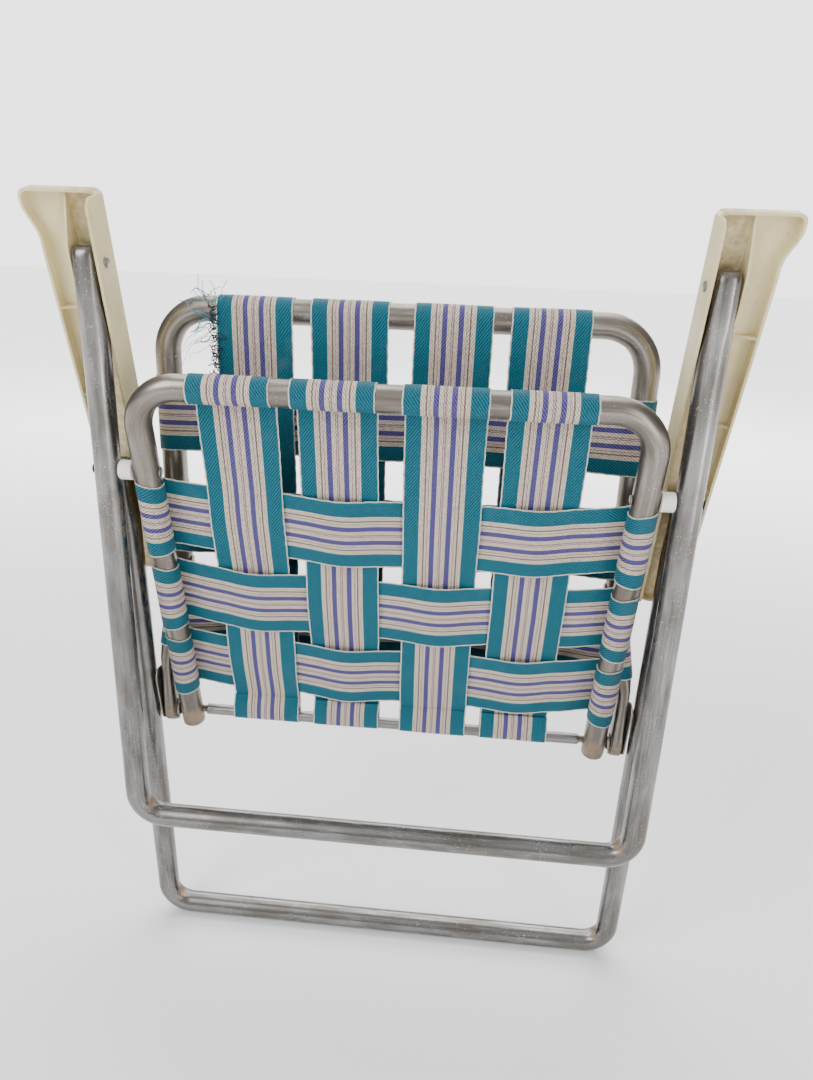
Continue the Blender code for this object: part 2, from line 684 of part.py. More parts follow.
def side_hook(facing, side_tube, lead):
    """Right-hand end of a cross strap: from the run, round the outside of the side tube."""
    half, width, deep = side_tube
    turn = wrap((0, 0), 1, facing * (math.pi / 2 + lead), -facing * HOOK_TURN)
    reach = GAP + STRAP_T / 2
    return [(half + (width + reach) * x, (deep + reach) * y) for x, y in turn]


def cross_edge(row, level, lift, hook):
    left = [(-x, y) for x, y in reversed(hook)]
    return left + cross_run(row, level, lift) + hook


def seat_cross_strap(row, finish):
    hook = side_hook(1, (SEAT_HALF, TUBE_R, TUBE_R), HOOK_LEAD)
    edges = []
    for half in (-STRAP_W / 2, STRAP_W / 2):
        z = SEAT_ROWS[row] + half
        path = cross_edge(row, seat_level(z), seat_lift, hook)
        edges.append([Vector((x, y, z)) for x, y in path])
    ribbon(f"seat_cross_strap_{row + 1}", edges, finish, SEAT_PIVOT, SEAT_TILT)


def past_seat_tube(z):
    """Where the lowest back strap is held clear of the folded seat's side tube."""
    surface = (WRAP_R + STRAP_T) / math.cos(SEAT_TILT) - z * math.tan(SEAT_TILT)
    clear = max(surface + STRAP_T, -WRAP_R)
    return [(SEAT_HALF - TUBE_R, clear + STRAP_T * 2), (SEAT_HALF + STRAP_T * 3, clear)]


def back_hook(row, z):
    """Right-hand end of a back cross strap at a height; the lowest strap bends past the seat."""
    centre, width, deep = back_side(z)
    if row < len(BACK_ROWS) - 1:
        return side_hook(-1, (centre, width, deep), HOOK_LEAD)
    hook = side_hook(-1, (centre, width + SPLAY_CLEAR, deep), LOW_LEAD)
    if z < BACK_ROWS[row]:
        return past_seat_tube(z) + hook
    start = (LONG_STRAPS[-1] + STRAP_W / 2, back_level(z))
    shares = (0.6, 0.8)
    return [tuple(a + (b - a) * share for a, b in zip(start, hook[0])) for share in shares] + hook


def back_cross_strap(row, finish):
    edges = []
    for half in (-STRAP_W / 2, STRAP_W / 2):
        z = BACK_ROWS[row] + half
        path = cross_edge(row, back_level(z), back_lift, back_hook(row, z))
        edges.append([Vector((x, y, z)) for x, y in path])
    ribbon(f"back_cross_strap_{row + 1}", edges, finish, REAR_ROD, 0.0)


def webbing(finish):
    for index, x in enumerate(LONG_STRAPS):
        seat_long_strap(index, x, finish)
        back_long_strap(index, x, finish)
    for row in range(len(SEAT_ROWS)):
        seat_cross_strap(row, finish)
    for row in range(len(BACK_ROWS)):
        back_cross_strap(row, finish)


# ---------------------------------------------------------------- the chair
def build():
    clear_scene()
    finish = finishes()
    front_leg_frame(finish["tube"])
    rear_leg_frame(finish["tube"])
    seat_frame(finish["tube"])
    back_frame(finish["tube"])
    rear_rod(finish["rod"])
    rivets(finish["rivet"])
    link_rivets(finish["rivet"])
    spacers(finish["nylon"], finish["rivet"])
    rod_caps(finish["rivet"])
    links(finish["tube"])
    for side_name, side in both_sides():
        arm(side_name, side, finish["arm"])
    webbing(finish["strap"])


build()
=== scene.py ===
"""Looks of the folding webbed lawn chair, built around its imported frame.

Every piece is drawn in the plane of the frame it belongs to, in metres, with X across
the chair, and then set on that frame's pivot and given to its body.
"""

import json
import math

import bmesh
import bpy
import numpy as np
from mathutils import Matrix, Vector


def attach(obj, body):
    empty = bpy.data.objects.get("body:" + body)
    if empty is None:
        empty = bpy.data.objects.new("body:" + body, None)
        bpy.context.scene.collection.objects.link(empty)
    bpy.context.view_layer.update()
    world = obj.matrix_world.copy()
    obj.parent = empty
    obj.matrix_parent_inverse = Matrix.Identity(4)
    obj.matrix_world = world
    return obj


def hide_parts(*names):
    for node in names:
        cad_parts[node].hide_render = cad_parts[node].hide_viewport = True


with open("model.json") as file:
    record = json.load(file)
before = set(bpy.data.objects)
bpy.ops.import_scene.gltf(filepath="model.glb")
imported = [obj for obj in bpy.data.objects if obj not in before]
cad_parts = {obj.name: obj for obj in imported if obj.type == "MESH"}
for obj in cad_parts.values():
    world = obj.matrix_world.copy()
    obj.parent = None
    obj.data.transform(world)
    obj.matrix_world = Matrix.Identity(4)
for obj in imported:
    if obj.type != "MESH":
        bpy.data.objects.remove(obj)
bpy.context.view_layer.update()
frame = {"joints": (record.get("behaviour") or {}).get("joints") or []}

# ---------------------------------------------------------------- sizes (m) and places
GAP = 0.0003
SIDES = 48                      # around a tube
STEP = 0.012                    # between rings on a straight tube
BEND_STEPS = 18
BAR_STEPS = 30                  # along the straight bar of a U

TUBE_R = 0.0127
TUBE_WALL = 0.0014
SEAT_HALF = 0.236
BACK_HALF = 0.238
FRONT_LEG_HALF = 0.275
REAR_LEG_HALF = 0.284

ARM_PIVOT_UP = 0.189
SEAT_REACH = 0.3175
SEAT_FRONT = 0.087
SEAT_TAIL = 0.0185
BACK_HEIGHT = 0.457
FRONT_LEG_DOWN = 0.402
REAR_LEG_DOWN = 0.595
LINK_ON_LEG = 0.246
SEAT_CORNER = 0.042
BACK_CORNER = 0.045
FOOT_CORNER = 0.030

LEG_END = 0.014
END_HALF = 0.0095
END_DEEP = 0.0145
BACK_END_HALF = 0.007
BACK_END_DEEP = 0.0155
BACK_END = 0.0155
BACK_FLAT_TOP = 0.068
BACK_SPLAY_LOW = 0.078
BACK_SPLAY_HIGH = 0.1636

ROD_R = 0.00635
ROD_NECK_R = 0.004
ROD_NECK_SHOW = 0.007
RIVET_R = 0.0024
RIVET_HEAD_R = 0.0050
RIVET_HEAD = 0.0016
SPACER_R = 0.0095
CAP_R = 0.0075
CAP_THICK = 0.0020
LINK_THICK = 0.0016
LINK_BIG_R = 0.0140
LINK_SMALL_R = 0.0110

STRAP_W = 0.0762
STRAP_T = 0.0010
WEAVE = 0.00078
LONG_STRAPS = (-0.145, -0.051, 0.049, 0.142)
SEAT_ROWS = (-0.056, -0.152, -0.246)
BACK_ROWS = (0.352, 0.2380, 0.1255)

SEAT_TILT = math.radians(14.0)
LEG_TILT = math.radians(3.2)


def along(tilt, distance):
    """Offset for a distance down a frame that leans back by tilt."""
    return Vector((0, math.sin(tilt) * distance, -math.cos(tilt) * distance))


PIVOTS = {joint["name"]: Vector(joint["pos_m"]) for joint in frame["joints"]}
SEAT_PIVOT = PIVOTS["seat_fold"]
ARM_PIVOT = PIVOTS["left_arm_fold"]
REAR_ROD = PIVOTS["back_fold"]
LEG_PIVOT = PIVOTS["rear_leg_fold"]
BACK_PIVOT = REAR_ROD + Vector((0, 0, ARM_PIVOT_UP))
LINK_PIVOT = LEG_PIVOT + along(LEG_TILT, LINK_ON_LEG)

SEAT_OUT = SEAT_HALF + TUBE_R
BACK_OUT = BACK_HALF + TUBE_R
FLANGE_OUT = FRONT_LEG_HALF - TUBE_R - 0.0005
FLANGE_IN = FLANGE_OUT - 0.0026
BACK_END_X = SEAT_OUT + 0.0035 + BACK_END_HALF
LINK_IN = BACK_END_X + BACK_END_HALF + 0.0005
LINK_OUT = LINK_IN + LINK_THICK
WRAP_R = TUBE_R + GAP + STRAP_T / 2
SEAT_ROD_R = ROD_R + GAP + STRAP_T / 2
BACK_ROD_R = SEAT_ROD_R + STRAP_T + GAP
ROD_SHOULDER = SEAT_HALF - TUBE_R - ROD_NECK_SHOW


# ---------------------------------------------------------------- shader nodes
def add_node(tree, kind, inputs=None, **settings):
    """New node with its settings, and its inputs given as values or as sockets."""
    made = tree.nodes.new(kind)
    for name, value in settings.items():
        setattr(made, name, value)
    for name, value in (inputs or {}).items():
        if isinstance(value, bpy.types.NodeSocket):
            tree.links.new(value, made.inputs[name])
        else:
            made.inputs[name].default_value = value
    return made


def maths(tree, operation, first, second=None, third=None):
    given = {i: v for i, v in enumerate((first, second, third)) if v is not None}
    return add_node(tree, "ShaderNodeMath", given, operation=operation).outputs[0]


def between(tree, value, low, high, to_low=0.0, to_high=1.0):
    """Value moved smoothly from one range to another, and held at its ends."""
    inputs = {"Value": value, "From Min": low, "From Max": high}
    inputs.update({"To Min": to_low, "To Max": to_high})
    made = add_node(tree, "ShaderNodeMapRange", inputs, interpolation_type="SMOOTHSTEP")
    return made.outputs["Result"]


def mixed(tree, share, first, second, blend="MIX"):
    """Colour mix; either colour may be a socket or three numbers."""
    made = tree.nodes.new("ShaderNodeMix")
    made.data_type = "RGBA"
    made.blend_type = blend
    for index, value in ((0, share), (6, first), (7, second)):
        if isinstance(value, bpy.types.NodeSocket):
            tree.links.new(value, made.inputs[index])
        elif index:
            made.inputs[index].default_value = (*value, 1)
        else:
            made.inputs[index].default_value = value
    return made.outputs[2]


def noise(tree, vector, scale, detail=3.0, rough=0.55, output="Fac"):
    inputs = {"Vector": vector, "Scale": scale, "Detail": detail, "Roughness": rough}
    return add_node(tree, "ShaderNodeTexNoise", inputs).outputs[output]


def stretched(tree, vector, scale):
    inputs = {"Vector": vector, "Scale": scale}
    return add_node(tree, "ShaderNodeMapping", inputs).outputs["Vector"]


def new_group(name, inputs, outputs):
    """Empty node group with (name, kind, default) inputs and (name, kind) outputs."""
    tree = bpy.data.node_groups.new(name, "ShaderNodeTree")
    for label, kind, default in inputs:
        socket = tree.interface.new_socket(label, in_out="INPUT", socket_type=kind)
        if default is not None:
            socket.default_value = default
    for label, kind in outputs:
        tree.interface.new_socket(label, in_out="OUTPUT", socket_type=kind)
    start = tree.nodes.new("NodeGroupInput")
    end = tree.nodes.new("NodeGroupOutput")
    return tree, start, end


def use_group(tree, group, inputs):
    made = tree.nodes.new("ShaderNodeGroup")
    made.node_tree = group
    for name, value in inputs.items():
        if isinstance(value, bpy.types.NodeSocket):
            tree.links.new(value, made.inputs[name])
        else:
            made.inputs[name].default_value = value
    return made.outputs


def fine_scratches_group():
    """Scratches and drawn lines along a piece: the vector runs along it in X."""
    tree, start, end = new_group(
        "fine scratches",
        [("Vector", "NodeSocketVector", None), ("Lines", "NodeSocketFloat", 1400.0),
         ("Scuffs", "NodeSocketFloat", 120.0)],
        [("Lines", "NodeSocketFloat"), ("Scuffs", "NodeSocketFloat")])
    vector = start.outputs["Vector"]
    drawn = noise(tree, stretched(tree, vector, (0.02, 1, 1)), start.outputs["Lines"], 4)
    long_marks = noise(tree, stretched(tree, vector, (0.06, 1, 1)), start.outputs["Scuffs"], 5, 0.7)
    patches = noise(tree, vector, 26.0, 3)
    marks = maths(tree, "MULTIPLY", between(tree, long_marks, 0.52, 0.68),
                  between(tree, patches, 0.38, 0.62))
    tree.links.new(drawn, end.inputs["Lines"])
    tree.links.new(marks, end.inputs["Scuffs"])
    return tree


def specks_group():
    """Small separate spots, thinned out by a broad noise."""
    tree, start, end = new_group(
        "specks",
        [("Vector", "NodeSocketVector", None), ("Scale", "NodeSocketFloat", 420.0),
         ("Size", "NodeSocketFloat", 0.16), ("Amount", "NodeSocketFloat", 0.5)],
        [("Specks", "NodeSocketFloat")])
    vector = start.outputs["Vector"]
    cells = add_node(tree, "ShaderNodeTexVoronoi",
                     {"Vector": vector, "Scale": start.outputs["Scale"], "Randomness": 1.0})
    spot = maths(tree, "LESS_THAN", cells.outputs["Distance"], start.outputs["Size"])
    some = add_node(tree, "ShaderNodeSeparateColor", {"Color": cells.outputs["Color"]})
    kept = maths(tree, "LESS_THAN", some.outputs[0], start.outputs["Amount"])
    patches = between(tree, noise(tree, vector, 34.0, 2), 0.42, 0.60)
    both = maths(tree, "MULTIPLY", maths(tree, "MULTIPLY", spot, kept), patches)
    tree.links.new(both, end.inputs["Specks"])
    return tree


def grime_and_shade_group():
    """Cloudy dirt, with painted shade where a piece stores it, strongest where the piece's own
    attribute is high.
    """
    tree, start, end = new_group(
        "grime_and_shade",
        [("Vector", "NodeSocketVector", None), ("Spread", "NodeSocketFloat", 0.0)],
        [("Grime and shade", "NodeSocketFloat")])
    where = add_node(tree, "ShaderNodeAttribute", attribute_name="grime_and_shade").outputs["Fac"]
    cloud = noise(tree, start.outputs["Vector"], 150.0, 6, 0.68)
    level = maths(tree, "ADD", maths(tree, "ADD", where, start.outputs["Spread"]),
                  maths(tree, "MULTIPLY", maths(tree, "SUBTRACT", cloud, 0.5), 1.5))
    tree.links.new(between(tree, level, 0.35, 0.85), end.inputs["Grime and shade"])
    return tree


SCRATCHES = fine_scratches_group()
SPECKS = specks_group()
GRIME_AND_SHADE = grime_and_shade_group()


def new_material(name):
    made = bpy.data.materials.new(name)
    made.use_nodes = True
    return made, made.node_tree, made.node_tree.nodes["Principled BSDF"]


def bump(tree, height, distance, strength=1.0, normal=None):
    inputs = {"Height": height, "Distance": distance, "Strength": strength}
    if normal is not None:
        inputs["Normal"] = normal
    return add_node(tree, "ShaderNodeBump", inputs).outputs["Normal"]


def uv_of(tree, name="along"):
    return add_node(tree, "ShaderNodeUVMap", uv_map=name).outputs["UV"]


def place_of(tree):
    return add_node(tree, "ShaderNodeTexCoord").outputs["Object"]


def aluminium(name, clean, dull, roughness, speckle=0.5, streak=0.5):
    """Worn drawn aluminium: lines along the tube, scuffs, white specks and tan grime."""
    made, tree, shader = new_material(name)
    lengthways = uv_of(tree)
    place = place_of(tree)
    marks = use_group(tree, SCRATCHES, {"Vector": lengthways})
    spots = use_group(tree, SPECKS, {"Vector": place, "Amount": speckle})["Specks"]
    dirt_and_shade = use_group(tree, GRIME_AND_SHADE, {"Vector": place})["Grime and shade"]
    broad = noise(tree, stretched(tree, lengthways, (0.25, 1, 1)), 60.0, 4)
    streaks = noise(tree, stretched(tree, lengthways, (0.018, 1, 1)), 620.0, 5, 0.66)
    metal = mixed(tree, between(tree, broad, 0.35, 0.68), clean, dull)
    dark = tuple(channel * 0.42 for channel in dull)
    metal = mixed(tree, between(tree, streaks, 0.46, 0.70, 0.0, streak), metal, dark)
    metal = mixed(tree, maths(tree, "MULTIPLY", marks["Scuffs"], 0.40), metal, (0.50, 0.49, 0.47))
    metal = mixed(tree, maths(tree, "MULTIPLY", spots, 0.80), metal, (0.78, 0.76, 0.72))
    metal = mixed(tree, maths(tree, "MULTIPLY", dirt_and_shade, 0.80), metal, (0.33, 0.22, 0.13))
    tree.links.new(metal, shader.inputs["Base Color"])
    bare = maths(tree, "SUBTRACT", 1.0, maths(tree, "MULTIPLY", dirt_and_shade, 0.75))
    bare = maths(tree, "SUBTRACT", bare, maths(tree, "MULTIPLY", spots, 0.6))
    tree.links.new(bare, shader.inputs["Metallic"])
    rough = between(tree, broad, 0.30, 0.72, roughness, roughness + 0.13)
    rough = maths(tree, "ADD", rough, maths(tree, "MULTIPLY", marks["Scuffs"], 0.18))
    rough = maths(tree, "ADD", rough, maths(tree, "MULTIPLY", dirt_and_shade, 0.35))
    tree.links.new(rough, shader.inputs["Roughness"])
    height = maths(tree, "ADD", maths(tree, "MULTIPLY", marks["Lines"], 0.5),
                   maths(tree, "MULTIPLY", marks["Scuffs"], -0.6))
    height = maths(tree, "ADD", height, maths(tree, "MULTIPLY", spots, 0.9))
    tree.links.new(bump(tree, height, 0.00006, 0.55), shader.inputs["Normal"])
    return made


def moulded_ivory():
    """Aged ivory plastic: yellowed in patches, tan dirt and painted shade inside, faint moulding
    grain.
    """
    made, tree, shader = new_material("aged ivory plastic")
    place = place_of(tree)
    patches = noise(tree, place, 14.0, 4, 0.6)
    base = mixed(tree, between(tree, patches, 0.35, 0.70), (0.70, 0.615, 0.37), (0.60, 0.50, 0.26))
    dirt_and_shade = use_group(tree, GRIME_AND_SHADE, {"Vector": place})["Grime and shade"]
    # painted shade: the channel is darkened tan towards the skin and the flange, mixed with real
    # dirt round the pivots
    base = mixed(tree, maths(tree, "MULTIPLY", dirt_and_shade, 0.65), base, (0.36, 0.27, 0.14))
    spots = use_group(tree, SPECKS, {"Vector": place, "Scale": 210.0, "Size": 0.13,
                                     "Amount": 0.22})["Specks"]
    base = mixed(tree, maths(tree, "MULTIPLY", spots, 0.8), base, (0.10, 0.07, 0.04))
    tree.links.new(base, shader.inputs["Base Color"])
    grain = noise(tree, place, 900.0, 3)
    rough = between(tree, patches, 0.3, 0.7, 0.34, 0.48)
    rough = maths(tree, "ADD", rough, maths(tree, "MULTIPLY", dirt_and_shade, 0.25))
    tree.links.new(rough, shader.inputs["Roughness"])
    tree.links.new(bump(tree, grain, 0.00003, 0.5), shader.inputs["Normal"])
    shader.inputs["Subsurface Weight"].default_value = 0.08
    shader.inputs["Subsurface Radius"].default_value = (0.004, 0.003, 0.0015)
    shader.inputs["Specular IOR Level"].default_value = 0.45
    return made


def white_nylon():
    made, tree, shader = new_material("white nylon")
    place = place_of(tree)
    dirt_and_shade = use_group(tree, GRIME_AND_SHADE, {"Vector": place, "Spread": 0.18})["Grime and shade"]
    base = mixed(tree, maths(tree, "MULTIPLY", dirt_and_shade, 0.5), (0.82, 0.81, 0.76), (0.45, 0.36, 0.24))
    tree.links.new(base, shader.inputs["Base Color"])
    tree.links.new(between(tree, noise(tree, place, 300.0), 0.3, 0.7, 0.42, 0.56),
                   shader.inputs["Roughness"])
    tree.links.new(bump(tree, noise(tree, place, 1500.0, 2), 0.00003, 0.4), shader.inputs["Normal"])
    shader.inputs["Subsurface Weight"].default_value = 0.10
    shader.inputs["Subsurface Radius"].default_value = (0.002, 0.002, 0.002)
    return made


TEAL = (0.0, 0.125, 0.190)
CREAM = (0.95, 0.80, 0.64)
PURPLE = (0.125, 0.060, 0.32)
BROWN = (0.15, 0.050, 0.028)
MAUVE = (0.24, 0.05, 0.11)
SELVAGE = (0.86, 0.80, 0.70)
# band edges as shares of the strap's width, from one selvage to the other
STRIPES = (
    (0.000, SELVAGE), (0.017, TEAL), (0.208, CREAM), (0.352, PURPLE), (0.418, CREAM),
    (0.562, PURPLE), (0.628, CREAM), (0.780, TEAL), (0.983, SELVAGE))
FINE_LINES = ((0.279, 0.0105, BROWN), (0.320, 0.0050, MAUVE), (0.478, 0.0070, MAUVE),
              (0.502, 0.0070, MAUVE), (0.668, 0.0050, MAUVE), (0.712, 0.0105, BROWN))


YARN_PICK = 0.0021              # length of one woven cell (m)
YARN_END = 0.00145              # width of one woven cell (m)
RIB_PITCH = 0.0017
LINE_TWIST = 0.0062             # one turn of the fine two-tone yarns (m)


def stripes(tree, across, wander):
    """Colour of the woven bands at a share of the width."""
    ramp = add_node(tree, "ShaderNodeValToRGB", {"Fac": maths(tree, "ADD", across, wander)})
    ramp.color_ramp.interpolation = "CONSTANT"
    keys = ramp.color_ramp.elements
    keys[0].color = (*STRIPES[0][1], 1)
    keys[1].position = STRIPES[-1][0]
    keys[1].color = (*STRIPES[-1][1], 1)
    for place, colour in STRIPES[1:-1]:
        key = keys.new(place)
        key.color = (*colour, 1)
    return ramp.outputs["Color"]


def pale_band(tree, share):
    """One across the cream bands in the middle of the strap, nought on the teal edges."""
    away = maths(tree, "ABSOLUTE", maths(tree, "SUBTRACT", share, 0.5))
    return between(tree, away, 0.285, 0.29, 1.0, 0.0)


def webbing(name, wear):
    """Striped woven webbing: picks and ends as small raised cells, with a soft sheen."""
    made, tree, shader = new_material(name)
    split = add_node(tree, "ShaderNodeSeparateXYZ", {"Vector": uv_of(tree, "cloth")})
    lengthways, across = split.outputs["X"], split.outputs["Y"]
    share = maths(tree, "DIVIDE", across, STRAP_W)
    flat = add_node(tree, "ShaderNodeCombineXYZ", {"X": lengthways, "Y": across}).outputs[0]
    wander = maths(tree, "MULTIPLY", maths(tree, "SUBTRACT", noise(tree, flat, 45.0), 0.5), 0.007)
    colour = stripes(tree, share, wander)
    twist = maths(tree, "SINE", maths(tree, "MULTIPLY", lengthways, 2 * math.pi / LINE_TWIST))
    strand = maths(tree, "MULTIPLY", twist, 0.0022)
    for place, half, line_colour in FINE_LINES:
        from_line = maths(tree, "SUBTRACT", maths(tree, "ADD", share, strand), place)
        away = maths(tree, "ABSOLUTE", from_line)
        on_line = between(tree, away, half * 0.55, half, 1.0, 0.0)
        tone = maths(tree, "PINGPONG", maths(tree, "ADD", lengthways, across), 0.0011)
        light = tuple(min(channel * 2.6 + 0.10, 1) for channel in line_colour)
        yarn = mixed(tree, between(tree, tone, 0.0006, 0.0009), line_colour, light)
        colour = mixed(tree, on_line, colour, yarn)
    cells = add_node(tree, "ShaderNodeTexBrick",
                     {"Vector": flat, "Color1": (1, 1, 1, 1), "Color2": (0.62, 0.62, 0.62, 1),
                      "Mortar": (0.12, 0.12, 0.12, 1), "Scale": 1.0, "Mortar Size": 0.00028,
                      "Mortar Smooth": 0.8, "Bias": 0.0, "Brick Width": YARN_PICK,
                      "Row Height": YARN_END})
    cells.offset = 0.5
    slant = maths(tree, "ADD", lengthways, maths(tree, "MULTIPLY", across, 0.75))
    zigzag = maths(tree, "PINGPONG", slant, RIB_PITCH)
    rib = maths(tree, "MULTIPLY", zigzag, 1 / RIB_PITCH)
    shade = mixed(tree, 0.92, colour, cells.outputs["Color"], "MULTIPLY")
    diagonal = maths(tree, "ADD", maths(tree, "MULTIPLY", lengthways, 0.72), across)
    twill = maths(tree, "PINGPONG", diagonal, YARN_END)
    lit = maths(tree, "MULTIPLY", between(tree, twill, 0.0009, 0.00135), 0.46)
    shade = mixed(tree, lit, shade, mixed(tree, 0.55, colour, (0.10, 0.50, 0.62)))
    tan_marks = maths(tree, "MULTIPLY", between(tree, twill, 0.0006, 0.0002), pale_band(tree, share))
    tan_marks = maths(tree, "MULTIPLY", tan_marks, 0.55)
    shade = mixed(tree, tan_marks, shade, (0.34, 0.20, 0.13), "MULTIPLY")
    fade = noise(tree, flat, 22.0, 4)
    shade = mixed(tree, between(tree, fade, 0.55, 0.85, 0.0, 0.04 + wear * 0.3), shade,
                  (0.42, 0.46, 0.46))
    dirt_and_shade = use_group(tree, GRIME_AND_SHADE, {"Vector": place_of(tree), "Spread": -0.05 + wear * 0.2})["Grime and shade"]
    shade = mixed(tree, maths(tree, "MULTIPLY", dirt_and_shade, 0.35), shade, (0.13, 0.11, 0.09))
    tree.links.new(shade, shader.inputs["Base Color"])
    weft = maths(tree, "SUBTRACT", 1.0, cells.outputs["Fac"])
    height = maths(tree, "ADD", weft, maths(tree, "MULTIPLY", rib, 0.7))
    fuzz = noise(tree, flat, 2600.0, 2)
    height = maths(tree, "ADD", height, maths(tree, "MULTIPLY", fuzz, 0.35))
    tree.links.new(bump(tree, height, 0.00034, 0.9), shader.inputs["Normal"])
    tree.links.new(between(tree, fuzz, 0.3, 0.7, 0.50, 0.68), shader.inputs["Roughness"])
    shader.inputs["Sheen Weight"].default_value = 0.02
    shader.inputs["Sheen Roughness"].default_value = 0.4
    shader.inputs["Specular IOR Level"].default_value = 0.22
    return made


def plain(name, colour, roughness):
    """Single yarn colour for loose threads, with a little variation along them."""
    made, tree, shader = new_material(name)
    tint = noise(tree, place_of(tree), 400.0, 2)
    darker = tuple(channel * 0.6 for channel in colour)
    tree.links.new(mixed(tree, between(tree, tint, 0.35, 0.65), colour, darker),
                   shader.inputs["Base Color"])
    shader.inputs["Roughness"].default_value = roughness
    return made


ALUMINIUM = aluminium("drawn aluminium tube", (0.245, 0.240, 0.235), (0.150, 0.138, 0.126),
                      0.24, 0.75)
BAR = aluminium("rubbed aluminium tube", (0.250, 0.225, 0.198), (0.175, 0.150, 0.125),
                0.30, 0.3, 0.35)
ROD = aluminium("bright rod", (0.30, 0.29, 0.28), (0.20, 0.19, 0.18), 0.28, 0.15, 0.2)
RIVET = aluminium("rivet aluminium", (0.33, 0.31, 0.285), (0.24, 0.215, 0.19), 0.36, 0.3)
IVORY = moulded_ivory()
NYLON = white_nylon()
WEBBING = webbing("striped webbing", 0.0)
WORN_WEBBING = webbing("worn striped webbing", 0.35)
BLUE_THREAD = plain("loose blue thread", (0.04, 0.30, 0.42), 0.6)
DARK_THREAD = plain("loose dark thread", (0.008, 0.020, 0.034), 0.7)
GREY_THREAD = plain("loose grey thread", (0.32, 0.35, 0.38), 0.6)


# ---------------------------------------------------------------- mesh helpers
def finished(name, bm, material, place, tilt, body, nodes=(), smooth=35):
    """Mesh made into a piece: set on its frame, shaded, and given to its body."""
    mesh = bpy.data.meshes.new(name)
    bmesh.ops.recalc_face_normals(bm, faces=bm.faces)
    bm.to_mesh(mesh)
    bm.free()
    mesh.materials.append(material)
    mesh.shade_smooth()
    mesh.set_sharp_from_angle(angle=math.radians(smooth))
    obj = bpy.data.objects.new(name, mesh)
    obj.location = place
    obj.rotation_euler = (tilt, 0, 0)
    bpy.context.collection.objects.link(obj)
    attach(obj, body)
    if nodes:
        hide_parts(*nodes)
    return obj


def bridge(bm, first, second, uv_layer=None, uv_rows=None):
    """Quads between two rings; uv_rows are the two rows of (u, v), one longer than the ring."""
    count = len(first)
    for i in range(count):
        j = (i + 1) % count
        face = bm.faces.new((first[i], first[j], second[j], second[i]))
        if uv_layer is None:
            continue
        corners = (uv_rows[0][i], uv_rows[0][i + 1], uv_rows[1][i + 1], uv_rows[1][i])
        for loop, uv in zip(face.loops, corners):
            loop[uv_layer].uv = uv


def smooth_step(value):
    value = min(max(value, 0.0), 1.0)
    return value * value * (3 - 2 * value)


def arc_points(centre, radius, start, end, steps):
    angles = [start + (end - start) * k / steps for k in range(steps + 1)]
    return [(centre[0] + radius * math.cos(a), centre[1] + radius * math.sin(a)) for a in angles]


def turned(name, profile, material, place, body, nodes, tilt=0.0, sides=40):
    """Piece turned about X from (x, radius) pairs; a radius of nought closes an end."""
    bm = bmesh.new()
    grime_and_shade = bm.verts.layers.float.new("grime_and_shade")
    uv_layer = bm.loops.layers.uv.new("along")
    rings, rows = [], []
    travelled = 0.0
    for index, (x, radius) in enumerate(profile):
        if index:
            travelled += math.dist(profile[index - 1], profile[index])
        ring = []
        radius = max(radius, 1e-5)
        for k in range(sides):
            turn = 2 * math.pi * k / sides
            vert = bm.verts.new((x, radius * math.cos(turn), radius * math.sin(turn)))
            vert[grime_and_shade] = 0.25
            ring.append(vert)
        rings.append(ring)
        rows.append([(travelled, 2 * math.pi * k / sides * 0.006) for k in range(sides + 1)])
    for i in range(len(rings) - 1):
        bridge(bm, rings[i], rings[i + 1], uv_layer, (rows[i], rows[i + 1]))
    for ring in (rings[0], rings[-1]):
        bm.faces.new(ring)
    return finished(name, bm, material, place, tilt, body, nodes, 40)


# ---------------------------------------------------------------- bent tubes
class Station:
    """One ring of a tube: its centre, half width, half depth, squareness, dent and grime."""

    def __init__(self, point, half=TUBE_R, deep=TUBE_R, square=2.0, dent=0.0, grime_and_shade=0.0,
                 inward=None):
        self.point = point
        self.half = half
        self.deep = deep
        self.square = square
        self.dent = dent
        self.grime_and_shade = grime_and_shade
        self.inward = inward


def ring_offsets(station, side, less):
    """Points round a station; a dent presses in the side that faces inward."""
    points = []
    for k in range(SIDES):
        turn = 2 * math.pi * k / SIDES
        c, s = math.cos(turn), math.sin(turn)
        power = 2 / station.square
        across = math.copysign(abs(c) ** power, c) * (station.half - less)
        depth = math.copysign(abs(s) ** power, s) * (station.deep - less)
        pressed = 0.0
        if station.dent:
            facing = max(0.0, c * station.inward)
            pressed = station.dent * facing ** 6 * math.exp(-(s / 0.45) ** 2)
        points.append(side * (across - pressed * station.inward if station.dent else across)
                      + Vector((0, depth, 0)))
    return points


def swept(bm, stations, less, uv_layer, grime_and_shade):
    rings, rows = [], []
    travelled = 0.0
    for index, station in enumerate(stations):
        before = stations[max(index - 1, 0)].point
        after = stations[min(index + 1, len(stations) - 1)].point
        if index:
            travelled += (station.point - before).length
        side = Vector((0, 1, 0)).cross((after - before).normalized())
        ring = []
        for offset in ring_offsets(station, side, less):
            vert = bm.verts.new(station.point + offset)
            facing = 1.0
            if station.inward:
                facing = 0.35 + 0.65 * max(0.0, offset.normalized().dot(side) * station.inward)
            vert[grime_and_shade] = station.grime_and_shade * facing
            ring.append(vert)
        rings.append(ring)
        rows.append([(travelled, 2 * math.pi * k / SIDES * TUBE_R) for k in range(SIDES + 1)])
    for i in range(len(rings) - 1):
        bridge(bm, rings[i], rings[i + 1], uv_layer, (rows[i], rows[i + 1]))
    return rings, rows


